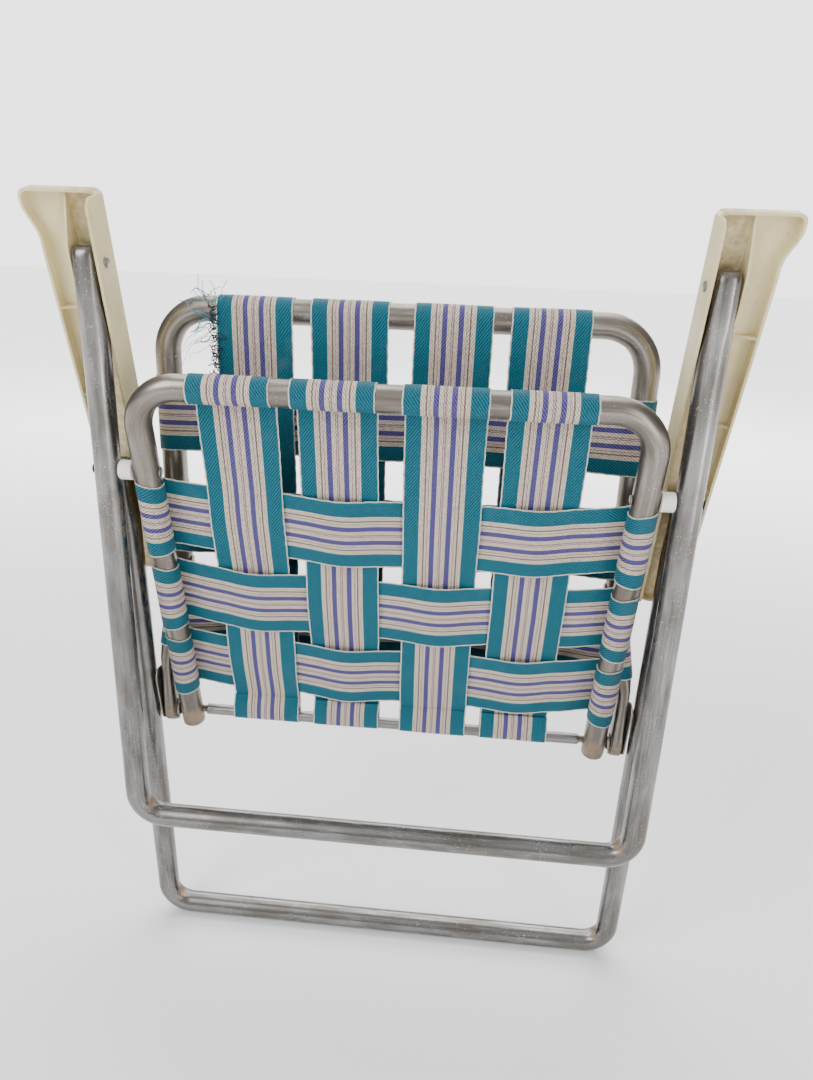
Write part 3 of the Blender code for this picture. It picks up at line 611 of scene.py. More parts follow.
def tube_piece(name, stations, material, place, tilt, body, node):
    """Tube with an open bore at both ends, and its cut rims."""
    bm = bmesh.new()
    uv_layer = bm.loops.layers.uv.new("along")
    grime_and_shade = bm.verts.layers.float.new("grime_and_shade")
    outer, rows = swept(bm, stations, 0.0, uv_layer, grime_and_shade)
    for inner_stations, rim, row in ((stations[:9], outer[0], rows[0]),
                                     (stations[:-10:-1], outer[-1], rows[-1])):
        inner, _ = swept(bm, inner_stations, TUBE_WALL, uv_layer, grime_and_shade)
        for ring in inner:
            for vert in ring:
                vert[grime_and_shade] = 0.9
        matched = inner[0] if inner_stations[0] is stations[0] else turned_round(inner[0])
        bridge(bm, rim, matched, uv_layer, (row, row))
        bm.faces.new(inner[-1])
    return finished(name, bm, material, place, tilt, body, (node,), 60)


def turned_round(ring):
    """The same ring in the order of a sweep that ran the other way."""
    half = len(ring) // 2
    return [ring[(half - k) % len(ring)] for k in range(len(ring))]


def straight(first, last, make):
    """Stations from one height to another, both ends included."""
    count = max(2, math.ceil(abs(last - first) / STEP))
    return [make(first + (last - first) * k / count) for k in range(count + 1)]


def corner_stations(half, bar, corner, dent, grime_and_shade):
    """Stations round the right-hand bend of a U, from its side to its bar."""
    up = 1 if bar > 0 else -1
    centre = Vector((half - corner, 0, bar - up * corner))
    made = []
    for k in range(1, BEND_STEPS + 1):
        share = k / BEND_STEPS
        turn = up * math.pi / 2 * share
        point = centre + corner * Vector((math.cos(turn), 0, math.sin(turn)))
        near = math.exp(-((share - 0.5) / 0.22) ** 2)
        squeeze = 1 - 0.035 * near
        made.append(Station(point, TUBE_R * squeeze, TUBE_R * (1 + 0.02 * near), 2.0,
                            dent * near, grime_and_shade * near, 1.0 * -up))
    return made


def u_stations(side, half, bar, corner, dent, grime_and_shade):
    """Stations of a whole U of tube, from its right side; the left side is its mirror image."""
    right = side + corner_stations(half, bar, corner, dent, grime_and_shade)
    flat = half - corner
    middle = [Station(Vector((flat - 2 * flat * k / BAR_STEPS, 0, bar)))
              for k in range(1, BAR_STEPS)]
    left = []
    for s in reversed(right):
        mirrored = Vector((-s.point.x, s.point.y, s.point.z))
        left.append(Station(mirrored, s.half, s.deep, s.square, s.dent, s.grime_and_shade, s.inward))
    return right + middle + left


def leg_side(half, pivot, end, corner_height, pivot_grime, end_half=END_HALF, blunt=2):
    """Stations down a leg from its pressed, round-nosed top to the start of its bend."""
    def at(height):
        share = max(0.0, (height - pivot) / end)
        flat = 1 - smooth_step((pivot - 0.022 - height) / 0.040)
        nose = math.sqrt(max(1 - min(share, 0.975) ** blunt, 0.03))
        half_now = (TUBE_R + (end_half - TUBE_R) * flat) * (0.84 + 0.16 * nose)
        deep_now = (TUBE_R + (END_DEEP - TUBE_R) * flat) * nose
        grime_and_shade = pivot_grime * math.exp(-((height - pivot) / 0.03) ** 2)
        grime_and_shade += 0.35 * math.exp(-((height - corner_height) / 0.02) ** 2)
        return Station(Vector((half, 0, height)), half_now, deep_now, 2 + 0.8 * flat, grime_and_shade=grime_and_shade)
    shares = (1.0, 0.985, 0.965, 0.94, 0.90, 0.80, 0.6, 0.4, 0.2)
    tip = [at(pivot + end * share) for share in shares]
    pressed = straight(pivot, pivot - 0.066, at)
    return tip + pressed + straight(pivot - 0.072, corner_height, at)


def front_legs():
    side = leg_side(FRONT_LEG_HALF, ARM_PIVOT_UP, LEG_END, -FRONT_LEG_DOWN + FOOT_CORNER, 0.30,
                    END_HALF + 0.0020, 4)
    stations = u_stations(side, FRONT_LEG_HALF, -FRONT_LEG_DOWN, FOOT_CORNER, 0.0032, 0.85)
    tube_piece("front_leg_tube", stations, ALUMINIUM, SEAT_PIVOT, 0.0, "front_legs",
               "front_leg_frame")


def rear_legs():
    side = leg_side(REAR_LEG_HALF, 0.0, LEG_END, -REAR_LEG_DOWN + FOOT_CORNER, 0.30)
    stations = u_stations(side, REAR_LEG_HALF, -REAR_LEG_DOWN, FOOT_CORNER, 0.0032, 0.85)
    tube_piece("rear_leg_tube", stations, ALUMINIUM, LEG_PIVOT, LEG_TILT, "rear_legs",
               "rear_leg_frame")


def seat_tube():
    tail = -(SEAT_REACH + SEAT_TAIL)

    def at(height):
        worn = 0.75 * math.exp(-((height + SEAT_REACH + 0.004) / 0.016) ** 2)
        worn += 0.25 * math.exp(-(height / 0.02) ** 2)
        return Station(Vector((SEAT_HALF, 0, height)), grime_and_shade=worn)
    side = straight(tail, tail + 0.030, at)
    side += straight(tail + 0.036, SEAT_FRONT - SEAT_CORNER, at)
    stations = u_stations(side, SEAT_HALF, SEAT_FRONT, SEAT_CORNER, 0.0006, 0.12)
    tube_piece("seat_tube", stations, BAR, SEAT_PIVOT, SEAT_TILT, "seat", "seat_frame")


def back_side(height):
    """Centre X, half width and half depth of a back side tube at a height above the rod."""
    low = (BACK_END_X - 0.0025, 0.0100, 0.0143)
    high = (BACK_HALF, TUBE_R, TUBE_R)
    if height >= BACK_SPLAY_HIGH:
        return high
    if height >= BACK_SPLAY_LOW:
        share = (height - BACK_SPLAY_LOW) / (BACK_SPLAY_HIGH - BACK_SPLAY_LOW)
        return tuple(a + (b - a) * share for a, b in zip(low, high))
    end = (BACK_END_X, BACK_END_HALF, BACK_END_DEEP)
    share = smooth_step((BACK_SPLAY_LOW - height) / (BACK_SPLAY_LOW - BACK_FLAT_TOP))
    return tuple(a + (b - a) * share for a, b in zip(low, end))


def back_tube():
    def at(height):
        x, half, deep = back_side(height)
        nose = 1.0
        if height < 0:
            nose = math.sqrt(max(1 - min(-height / BACK_END, 0.985) ** 2, 0.03))
        flat = 1 - smooth_step((height - BACK_FLAT_TOP) / 0.05)
        worn = 0.55 * math.exp(-(height / 0.02) ** 2)
        worn += 0.25 * math.exp(-((height - ARM_PIVOT_UP) / 0.02) ** 2)
        return Station(Vector((x, 0, height)), half, deep * nose, 2 + 1.2 * flat, grime_and_shade=worn)
    tip = [at(-BACK_END * share) for share in (1.0, 0.97, 0.93, 0.87, 0.78, 0.65, 0.5, 0.32, 0.16)]
    side = tip + straight(0.0, BACK_HEIGHT - BACK_CORNER, at)
    stations = u_stations(side, BACK_HALF, BACK_HEIGHT, BACK_CORNER, 0.0006, 0.12)
    tube_piece("back_tube", stations, BAR, REAR_ROD, 0.0, "back", "back_frame")


# ---------------------------------------------------------------- rod, rivets, spacers
BOTH_SIDES = (("left", -1), ("right", 1))


def mirrored(profile, side):
    return profile if side > 0 else [(-x, r) for x, r in reversed(profile)]


def dome(start, radius, height, steps=6):
    """Low domed head from its rim outwards, as (x, radius) pairs."""
    rim = [(start, radius * 0.94), (start + height * 0.15, radius)]
    crown = []
    for k in range(1, steps + 1):
        turn = math.pi / 2 * k / steps
        crown.append((start + height * (0.25 + 0.75 * math.sin(turn)), radius * math.cos(turn)))
    return rim + crown


def rivet_profile(start, end):
    tail = [(2 * start - x, r) for x, r in reversed(dome(start, RIVET_HEAD_R, RIVET_HEAD))]
    return tail + [(start, RIVET_R), (end, RIVET_R)] + dome(end, RIVET_HEAD_R, RIVET_HEAD)


def rivets():
    places = (
        ("arm_front_rivet", ARM_PIVOT, FLANGE_IN - GAP, FRONT_LEG_HALF + END_HALF + GAP, None),
        ("seat_rivet", SEAT_PIVOT, SEAT_HALF - TUBE_R - GAP, FRONT_LEG_HALF + TUBE_R + GAP, "seat"),
        ("arm_rear_rivet", BACK_PIVOT, BACK_HALF - TUBE_R - GAP, FLANGE_OUT + GAP, None),
        ("leg_rivet", LEG_PIVOT, FLANGE_IN - GAP, REAR_LEG_HALF + END_HALF + GAP, None),
    )
    for side_name, side in BOTH_SIDES:
        for name, place, start, end, body in places:
            node = f"{side_name}_{name}"
            turned(f"{node}_head", mirrored(rivet_profile(start, end), side), RIVET, place,
                   body or f"{side_name}_arm", (node,))


def link_rivets():
    top = REAR_LEG_HALF - TUBE_R - GAP
    head = [(LINK_IN + GAP, 0.0), (LINK_IN + GAP, RIVET_R), (LINK_OUT + GAP, RIVET_R)]
    head += dome(LINK_OUT + GAP, RIVET_HEAD_R, top - LINK_OUT - GAP)
    out = REAR_LEG_HALF + TUBE_R + GAP
    tail = [(out - 0.003, 0.0), (out - 0.003, RIVET_R), (out, RIVET_R)]
    tail += dome(out, RIVET_HEAD_R, RIVET_HEAD)
    for side_name, side in BOTH_SIDES:
        turned(f"{side_name}_link_rivet_dome", mirrored(head, side), RIVET, LINK_PIVOT,
               f"{side_name}_link", (f"{side_name}_link_rivet_head",))
        turned(f"{side_name}_link_rivet_end", mirrored(tail, side), RIVET, LINK_PIVOT,
               "rear_legs", (f"{side_name}_link_rivet_tail",))


def eased_sleeve(start, end, inner, outer, ease):
    """Closed profile of a ring with eased outer corners, once round."""
    return [(start, inner), (start, outer - ease), (start + ease * 0.3, outer - ease * 0.3),
            (start + ease, outer), (end - ease, outer), (end - ease * 0.3, outer - ease * 0.3),
            (end, outer - ease), (end, inner)]


def sleeve(name, start, end, inner, outer, material, place, body, node):
    bm = bmesh.new()
    grime_and_shade = bm.verts.layers.float.new("grime_and_shade")
    uv_layer = bm.loops.layers.uv.new("along")
    sides = 40
    rings = []
    profile = eased_sleeve(start, end, inner, outer, min(0.0009, (end - start) * 0.25))
    for x, radius in profile:
        ring = []
        for k in range(sides):
            turn = 2 * math.pi * k / sides
            vert = bm.verts.new((x, radius * math.cos(turn), radius * math.sin(turn)))
            vert[grime_and_shade] = 0.35 if radius < outer * 0.8 else 0.12
            ring.append(vert)
        rings.append(ring)
    row = [(2 * math.pi * k / sides * outer, 0.0) for k in range(sides + 1)]
    for near, far in zip(rings, rings[1:] + rings[:1]):
        lifted = [(u, v + 0.001) for u, v in row]
        bridge(bm, near, far, uv_layer, (row, lifted))
    finished(name, bm, material, place, 0.0, body, (node,), 40)


def spacers():
    sets = (
        ("seat_spacer", NYLON, SEAT_PIVOT, SEAT_OUT + GAP, FRONT_LEG_HALF - TUBE_R - GAP, RIVET_R,
         "seat", "nylon"),
        ("back_spacer", NYLON, BACK_PIVOT, BACK_OUT + GAP, FLANGE_IN - GAP, RIVET_R, None, "nylon"),
        ("leg_spacer", NYLON, LEG_PIVOT, FLANGE_OUT + GAP, REAR_LEG_HALF - END_HALF - GAP, RIVET_R,
         None, "nylon"),
        ("rod_washer", RIVET, REAR_ROD, SEAT_OUT + GAP, BACK_END_X - BACK_END_HALF - GAP,
         ROD_NECK_R, "seat", "rivet"),
    )
    for side_name, side in BOTH_SIDES:
        for name, material, place, near, far, pin, body, slot in sets:
            start, end = sorted((side * near, side * far))
            sleeve(f"{side_name}_{name}_ring", start, end, pin + GAP, SPACER_R, material, place,
                   body or f"{side_name}_arm", f"{side_name}_{name}")


def rod():
    end = LINK_OUT + GAP / 2
    half = [(ROD_SHOULDER - 0.0005, ROD_R), (ROD_SHOULDER, ROD_R * 0.97)]
    half += [(ROD_SHOULDER + 0.0015, ROD_NECK_R * 1.1), (ROD_SHOULDER + 0.002, ROD_NECK_R)]
    half += [(end, ROD_NECK_R)]
    run = [(ROD_SHOULDER * (k / 12), ROD_R) for k in range(-11, 12)]
    profile = [(-x, r) for x, r in reversed(half)] + run + half
    turned("rear_rod", profile, ROD, REAR_ROD, "seat", ("rear_cross_rod",), SEAT_TILT)
    start = LINK_OUT + GAP * 2
    cap = [(start, 0.0)] + dome(start, CAP_R, CAP_THICK)
    for side_name, side in BOTH_SIDES:
        turned(f"{side_name}_rod_end", mirrored(cap, side), RIVET, REAR_ROD, "seat",
               (f"{side_name}_rod_cap",))


def link_outline(inset):
    length = (LINK_PIVOT - REAR_ROD).length
    big, small = LINK_BIG_R - inset, LINK_SMALL_R - inset
    spread = math.asin((big - small) / length)
    outline = arc_points((0, 0), big, math.pi - spread, 2 * math.pi + spread, 40)
    return outline + arc_points((0, length), small, spread, math.pi - spread, 28)


def links():
    """Pressed teardrop plates: an eased rim, a ridge inside it and a flat middle."""
    reach = LINK_PIVOT - REAR_ROD
    turn = math.atan2(-reach.y, reach.z)
    layers = ((0.0, 0.30), (0.0, 0.75), (0.0004, 1.0), (0.0022, 1.0), (0.0034, 0.62),
              (0.0055, 0.62))
    for side_name, side in BOTH_SIDES:
        bm = bmesh.new()
        grime_and_shade = bm.verts.layers.float.new("grime_and_shade")
        bm.loops.layers.uv.new("along")
        rings = []
        for inset, level in layers + ((0.0004, 0.0),):
            x = side * (LINK_IN + LINK_THICK * level)
            ring = [bm.verts.new((x, y, z)) for y, z in link_outline(inset)]
            for vert in ring:
                vert[grime_and_shade] = 0.45 if inset > 0.003 else 0.2
            rings.append(ring)
        for near, far in zip(rings, rings[1:-1]):
            bridge(bm, near, far)
        bridge(bm, rings[-1], rings[0])
        bm.faces.new(rings[-2])
        bm.faces.new(rings[-1])
        finished(f"{side_name}_link", bm, RIVET, REAR_ROD, turn, f"{side_name}_link",
                 (f"{side_name}_link_plate",), 50)


# ---------------------------------------------------------------- moulded arms
ARM_SKIN = 0.0030
ARM_UNDER = 0.0152
ARM_TOP = ARM_UNDER + ARM_SKIN
ARM_FLANGE_DROP = 0.0155
ARM_RIM = 0.0026
ARM_RIM_DEEP = 0.0110
ARM_RIB_DEEP = 0.0210
ARM_FRONT = 0.058
ARM_LENGTH = SEAT_REACH + 0.0175
ARM_WIDE = 0.0700
ARM_WAIST = 0.0590
ARM_SLIM = 0.0465
ARM_FLARE = 0.042
GUSSET_PLACES = (0.045, 0.130, 0.200)
GUSSET_THICK = 0.0022


def arm_edge(u):
    """Outer edge of the arm from its inner flange, at a distance behind the pivot."""
    flare = smooth_step((u + ARM_FRONT - 0.012) / (ARM_FLARE - 0.012))
    slim = ARM_WAIST + (ARM_SLIM - ARM_WAIST) * min(max(u / ARM_LENGTH, 0), 1)
    return ARM_WIDE + (slim - ARM_WIDE) * flare


def arm_outline(inset):
    """Plan of the arm as (x, z), pulled in by inset all round."""
    nose = 0.007 - inset * 0.5
    rear = 0.016 - inset * 0.5
    inner = FLANGE_IN + inset
    front = ARM_FRONT - inset
    back = -(ARM_LENGTH - inset)
    wide = FLANGE_IN + ARM_WIDE - inset
    points = arc_points((inner + nose, front - nose), nose, math.pi, math.pi / 2, 8)
    points += arc_points((wide - nose, front - nose), nose, math.pi / 2, 0, 8)
    steps = 34
    first = -ARM_FRONT + inset + nose + 0.002
    last = ARM_LENGTH - inset - rear - 0.002
    for k in range(steps):
        u = first + (last - first) * (k / (steps - 1)) ** 1.7
        points.append((FLANGE_IN + arm_edge(u) - inset, -u))
    slim = FLANGE_IN + arm_edge(ARM_LENGTH) - inset
    points += arc_points((slim - rear, back + rear), rear, 0, -math.pi / 2, 10)
    points += arc_points((inner + rear, back + rear), rear, -math.pi / 2, -math.pi, 10)
    return points


def flange_outline():
    """Side view of the inner flange as (y, z)."""
    front = ARM_FRONT - 0.004
    back = -(ARM_LENGTH - 0.006)
    low = -ARM_FLANGE_DROP
    top = ARM_UNDER + ARM_SKIN * 0.5
    points = [(top, front)]
    points += arc_points((low + 0.010, front - 0.010), 0.010, math.pi / 2, math.pi, 8)
    points += arc_points((low + 0.014, back + 0.014), 0.014, math.pi, 3 * math.pi / 2, 8)
    return points + [(top, back)]


def prism(outline, start, end, axis):
    """Temporary solid: an outline of 2D points extruded along X, Y or Z."""
    bm = bmesh.new()

    def corner(point, depth):
        values = list(point)
        values.insert(axis, depth)
        return bm.verts.new(values)

    near = [corner(point, start) for point in outline]
    far = [corner(point, end) for point in outline]
    bridge(bm, near, far)
    bm.faces.new(near)
    bm.faces.new(far)
    bmesh.ops.recalc_face_normals(bm, faces=bm.faces)
    mesh = bpy.data.meshes.new("blank")
    bm.to_mesh(mesh)
    bm.free()
    obj = bpy.data.objects.new("blank", mesh)
    bpy.context.collection.objects.link(obj)
    return obj


def combine(obj, other, operation):
    """Apply a Boolean and throw the other solid away."""
    modifier = obj.modifiers.new("join", "BOOLEAN")
    modifier.operation = operation
    modifier.object = other
    modifier.solver = "EXACT"
    settle(obj)
    bpy.data.objects.remove(other, do_unlink=True)


def settle(obj):
    """Replace the object's mesh with its modified mesh."""
    evaluated = obj.evaluated_get(bpy.context.evaluated_depsgraph_get())
    mesh = bpy.data.meshes.new_from_object(evaluated)
    obj.modifiers.clear()
    obj.data = mesh


def arm_solid(side):
    """The moulded arm: skin, rim, flange, rib and gussets as one body, edges eased."""
    def plan(inset):
        points = arm_outline(inset)
        return points if side > 0 else [(-x, z) for x, z in reversed(points)]

    obj = prism(plan(0), ARM_UNDER, ARM_TOP, 1)
    rim = prism(plan(0), ARM_UNDER - ARM_RIM_DEEP, ARM_UNDER + ARM_SKIN * 0.5, 1)
    combine(rim, prism(plan(ARM_RIM), -0.05, ARM_UNDER + ARM_SKIN * 0.2, 1), "DIFFERENCE")
    combine(obj, rim, "UNION")
    flange = sorted((side * FLANGE_IN, side * FLANGE_OUT))
    combine(obj, prism(flange_outline(), flange[0], flange[1], 0), "UNION")
    rib_x = FRONT_LEG_HALF + TUBE_R + 0.0012
    rib = sorted((side * rib_x, side * (rib_x + ARM_RIM * 0.75)))
    low = ARM_UNDER - ARM_RIB_DEEP
    shape = [(ARM_TOP - 0.001, ARM_FRONT - 0.001), (ARM_UNDER - 0.004, ARM_FRONT - 0.001),
             (low, ARM_FRONT - 0.046), (low, -0.020), (ARM_UNDER - 0.006, -0.110),
             (ARM_TOP - 0.001, -0.114)]
    combine(obj, prism(shape, rib[0], rib[1], 0), "UNION")
    for u in GUSSET_PLACES:
        outer = FLANGE_IN + arm_edge(u) - ARM_RIM * 0.5
        inner = rib_x + ARM_RIM * 0.4 if u < 0.1 else REAR_LEG_HALF + TUBE_R + 0.0005
        triangle = [(inner, ARM_UNDER + 0.001), (outer, ARM_UNDER + 0.001),
                    (outer, ARM_UNDER - ARM_RIM_DEEP)]
        triangle = [(side * x, y) for x, y in triangle]
        wedge = prism(triangle, -u - GUSSET_THICK / 2, -u + GUSSET_THICK / 2, 2)
        combine(obj, wedge, "UNION")
    return obj


def arm_grime_and_shade(point):
    """Painted shade and dirt darken the channel against the skin and along the flange; dirt gathers
    round the pivots.
    """
    x, y, z = abs(point.x), point.y, point.z
    inside = y < ARM_UNDER + 0.0005 and FLANGE_OUT - 0.0005 < x
    level = 0.0
    if inside:
        level = 0.26 * smooth_step((y - 0.004) / 0.011)
        level += 0.34 * math.exp(-((x - FLANGE_OUT) / 0.006) ** 2)
        level += 0.42 * smooth_step((0.293 - x) / 0.01)
    for pivot in (0.0, -0.210, -SEAT_REACH):
        level += 0.22 * math.exp(-(((z - pivot) / 0.010) ** 2 + (y / 0.010) ** 2))
    return level


def arms():
    for side_name, side in BOTH_SIDES:
        obj = arm_solid(side)
        edge = obj.modifiers.new("eased edges", "BEVEL")
        edge.width = 0.0007
        edge.segments = 3
        edge.limit_method = "ANGLE"
        edge.angle_limit = math.radians(40)
        settle(obj)
        bm = bmesh.new()
        bm.from_mesh(obj.data)
        bpy.data.objects.remove(obj, do_unlink=True)
        bmesh.ops.remove_doubles(bm, verts=bm.verts, dist=0.00002)
        bmesh.ops.triangulate(bm, faces=[f for f in bm.faces if len(f.verts) > 4])
        long_edges = [e for e in bm.edges if e.calc_length() > 0.012]
        bmesh.ops.subdivide_edges(bm, edges=long_edges, cuts=2)
        bmesh.ops.triangulate(bm, faces=[f for f in bm.faces if len(f.verts) > 4])
        grime_and_shade = bm.verts.layers.float.new("grime_and_shade")
        for vert in bm.verts:
            # painted shade in the channel and dirt round the pivots, stored per vertex for the
            # plastic's material
            vert[grime_and_shade] = arm_grime_and_shade(vert.co)
        finished(f"{side_name}_armrest", bm, IVORY, ARM_PIVOT, SEAT_TILT, f"{side_name}_arm",
                 (f"{side_name}_arm",), 32)


# ---------------------------------------------------------------- webbing
HOOK_TURN = math.radians(140)
SEAT_HOOK_TURN = math.radians(196)
ROD_HOOK_TURN = math.radians(200)
ROD_TAIL = 0.0235               # how far the tucked end reaches up past the rod
SEAT_DROOP = (0.0090, 0.0085, 0.0060)
BACK_DROOP = (0.0, 0.0060, 0.0)
HOOK_LEAD = math.radians(14)
LOW_LEAD = math.radians(50)
SPLAY_CLEAR = 0.0012
SEAT_SAG = 0.0020
BACK_SAG = 0.0015
CLOTH_STEP = 0.0022
STRAP_GRIME = 0.1
SEAT_BOW = 0.0060               # how far a slack cross strap stands out between crossings
BACK_BOW = 0.0030
HOOK_SPLAY = 0.0035
ACROSS_STEPS = 22


def seat_level(z):
    share = (SEAT_FRONT - z) / (SEAT_FRONT + SEAT_REACH)
    return WRAP_R + (SEAT_ROD_R - WRAP_R) * share - SEAT_SAG * 4 * share * (1 - share)


def back_level(z):
    share = z / BACK_HEIGHT
    return BACK_ROD_R - (BACK_ROD_R + WRAP_R) * share + BACK_SAG * 4 * share * (1 - share)


def seat_lift(column, row):
    """Side of the middle plane on which a lengthwise seat strap passes a cross strap."""
    return 1 if (column + row) % 2 else -1


def back_lift(column, row):
    """The same for the back's straps."""
    return 1 if (column + row) % 2 else -1


def over_under(position, centres, signs, reach):
    """Smooth offset from the middle plane: full at each crossing, turning over between."""
    level = signs[0]
    for i in range(len(centres) - 1):
        edge_a = centres[i] + reach
        edge_b = centres[i + 1] - reach
        share = smooth_step((position - edge_a) / (edge_b - edge_a))
        level += (signs[i + 1] - signs[i]) * share
    return level


def crown(position, centres, signs, pitch, facing):
    """How far a slack strap bows out where it lies on the outside of a crossing."""
    bow = 0.0
    for centre, sign in zip(centres, signs):
        away = (position - centre) / pitch
        if sign == facing and abs(away) < 0.5:
            bow += math.cos(math.pi * away) ** 2
    return bow


def resampled(path, step):
    """Points at even distances along a polyline of any dimension."""
    points = np.array(path, float)
    lengths = np.linalg.norm(np.diff(points, axis=0), axis=1)
    travelled = np.concatenate([[0], np.cumsum(lengths)])
    count = max(8, round(travelled[-1] / step))
    places = np.linspace(0, travelled[-1], count + 1)
    columns = [np.interp(places, travelled, points[:, k]) for k in range(points.shape[1])]
    return np.stack(columns, axis=1)


def softened(points, passes):
    """Moving average that leaves both ends where they are."""
    points = points.copy()
    for _ in range(passes):
        points[1:-1] = 0.25 * points[:-2] + 0.5 * points[1:-1] + 0.25 * points[2:]
    return points


def ribbon(name, near, far, material, place, tilt, body, node, seed, rests_on):
    """Woven strap between two edge lines of equal length, with woven-edge ripple.

    near and far are arrays of points (n, 3). The cloth's own flat place goes into the
    uv map, so the pattern follows the strap.
    """
    rng = np.random.default_rng(seed)
    count = len(near)
    shares = np.linspace(0, 1, ACROSS_STEPS + 1)
    middle = 0.5 * (near + far)
    run = np.gradient(middle, axis=0)
    run /= np.linalg.norm(run, axis=1)[:, None]
    across = far - near
    across /= np.linalg.norm(across, axis=1)[:, None]
    normal = np.cross(run, across)
    travelled = np.concatenate([[0], np.cumsum(np.linalg.norm(np.diff(middle, axis=0), axis=1))])
    phase = rng.uniform(0, 2 * math.pi, 6)
    bm = bmesh.new()
    uv_layer = bm.loops.layers.uv.new("cloth")
    grime_and_shade = bm.verts.layers.float.new("grime_and_shade")
    sheets = []
    for face in (0.5, -0.5):
        rows = []
        for i in range(count):
            row = []
            for share in shares:
                edge = abs(2 * share - 1)
                side = math.copysign(1, share - 0.5)
                ripple = 0.00016 * math.sin(travelled[i] / 0.0021 + phase[0] * side)
                ripple += 0.00030 * math.sin(travelled[i] / 0.021 + phase[1] * side)
                pull = side * ripple * edge ** 3
                thin = 1 - 0.35 * edge ** 12
                lift = 0.00022 * math.sin(travelled[i] / 0.030 + phase[2] + 3 * share)
                lift += 0.00018 * math.sin(travelled[i] / 0.013 + phase[3] - 5 * share)
                point = near[i] + (far[i] - near[i]) * share
                point = point + across[i] * pull + normal[i] * (face * STRAP_T * thin + lift * 0.5)
                vert = bm.verts.new(point)
                vert[grime_and_shade] = STRAP_GRIME
                row.append(vert)
            rows.append(row)
        sheets.append(rows)
    last = len(shares) - 1

    def face_of(corners, places):
        face = bm.faces.new(corners)
        for loop, (i, k) in zip(face.loops, places):
            loop[uv_layer].uv = (travelled[i], shares[k] * STRAP_W)

    for i in range(count - 1):
        for k in range(last):
            places = ((i, k), (i, k + 1), (i + 1, k + 1), (i + 1, k))
            face_of([sheets[0][a][b] for a, b in places], places)
            places = places[::-1]
            face_of([sheets[1][a][b] for a, b in places], places)
        for k in (0, last):
            corners = (sheets[0][i][k], sheets[0][i + 1][k], sheets[1][i + 1][k], sheets[1][i][k])
            face_of(corners, ((i, k), (i + 1, k), (i + 1, k), (i, k)))
    for i in (0, count - 1):
        for k in range(last):
            corners = (sheets[0][i][k], sheets[1][i][k], sheets[1][i][k + 1], sheets[0][i][k + 1])
            face_of(corners, ((i, k), (i, k), (i, k + 1), (i, k + 1)))
    obj = finished(name, bm, material, place, tilt, body, (node,), 60)
    return obj, (STRAP_W, round(float(travelled[-1]), 4)), rests_on


def long_path(upper, lower, rows, level, lifts, top, bottom, cross_bow, facing):
    """(y, z) path of a lengthwise strap: hook, run past the cross straps, hook."""
    run = []
    count = round(abs(top - bottom) / CLOTH_STEP)
    reach = STRAP_W * 0.52
    ordered_rows = [-row for row in rows]
    for k in range(1, count):
        z = top + (bottom - top) * k / count
        offset = WEAVE * over_under(-z, ordered_rows, lifts, reach)
        bow = cross_bow * facing * crown(-z, ordered_rows, lifts, STRAP_W * 1.1, facing)
        ends = smooth_step(min(k, count - k) / 9)
        run.append((level(z) + (offset + bow) * ends, z))
    return upper + run + lower


def lengthwise(name, path, x, material, place, tilt, body, node, seed, rests_on):
    points = softened(resampled(path, CLOTH_STEP), 1)
    near = np.column_stack([np.full(len(points), x - STRAP_W / 2), points])
    far = near + np.array([STRAP_W, 0, 0])
    return ribbon(name, near, far, material, place, tilt, body, node, seed, rests_on)


def rod_tail():
    """The tucked end: straight up off the front of the rod, then back against its own strap."""
    y = SEAT_ROD_R * math.cos(ROD_HOOK_TURN)
    z = -SEAT_REACH - SEAT_ROD_R * math.sin(ROD_HOOK_TURN)
    rise = (-math.sin(ROD_HOOK_TURN), -math.cos(ROD_HOOK_TURN))
    points = [(y + rise[0] * t, z + rise[1] * t) for t in (0.003, 0.006, 0.009, 0.012)]
    top = -SEAT_REACH + ROD_TAIL
    own = seat_level(top) - STRAP_T - GAP * 2
    return points + [(own - 0.0030, top - 0.0035), (own, top)]


def seat_long_straps():
    made = []
    for index, x in enumerate(LONG_STRAPS):
        upper = arc_points((0, SEAT_FRONT), WRAP_R, math.pi / 2 + HOOK_TURN, 0, 28)
        lower = arc_points((0, -SEAT_REACH), SEAT_ROD_R, 0, -ROD_HOOK_TURN, 22) + rod_tail()
        lifts = [seat_lift(index, row) for row in range(len(SEAT_ROWS))]
        path = long_path(upper, lower, SEAT_ROWS, seat_level, lifts, SEAT_FRONT, -SEAT_REACH,
                         0.0022, -1)
        made.append(lengthwise(f"seat_webbing_lengthwise_{index + 1}", path, x, WEBBING,
                               SEAT_PIVOT, SEAT_TILT, "seat", f"seat_long_strap_{index + 1}",
                               11 + index, ["seat_tube", "rear_rod"]))
    return made


def back_long_straps():
    made = []
    for index, x in enumerate(LONG_STRAPS):
        upper = arc_points((0, BACK_HEIGHT), WRAP_R, math.pi / 2 - HOOK_TURN, math.pi, 28)
        lower = arc_points((0, 0), BACK_ROD_R, 0, -HOOK_TURN / 2, 10)
        lifts = [back_lift(index, row) for row in range(len(BACK_ROWS))]
        path = long_path(upper, lower, BACK_ROWS, back_level, lifts, BACK_HEIGHT, 0.0, 0.0014, -1)
        material = WORN_WEBBING if index == 0 else WEBBING
        made.append(lengthwise(f"back_webbing_lengthwise_{index + 1}", path, x, material,
                               REAR_ROD, 0.0, "back", f"back_long_strap_{index + 1}",
                               21 + index, ["back_tube", "rear_rod"]))
    return made


def side_hook(facing, side_tube, lead, round_to=HOOK_TURN):
    half, width, deep = side_tube
    turn = arc_points((0, 0), 1, facing * (math.pi / 2 + lead), -facing * round_to, 34)
    reach = GAP + STRAP_T / 2
    return [(half + (width + reach) * x, (deep + reach) * y) for x, y in turn]


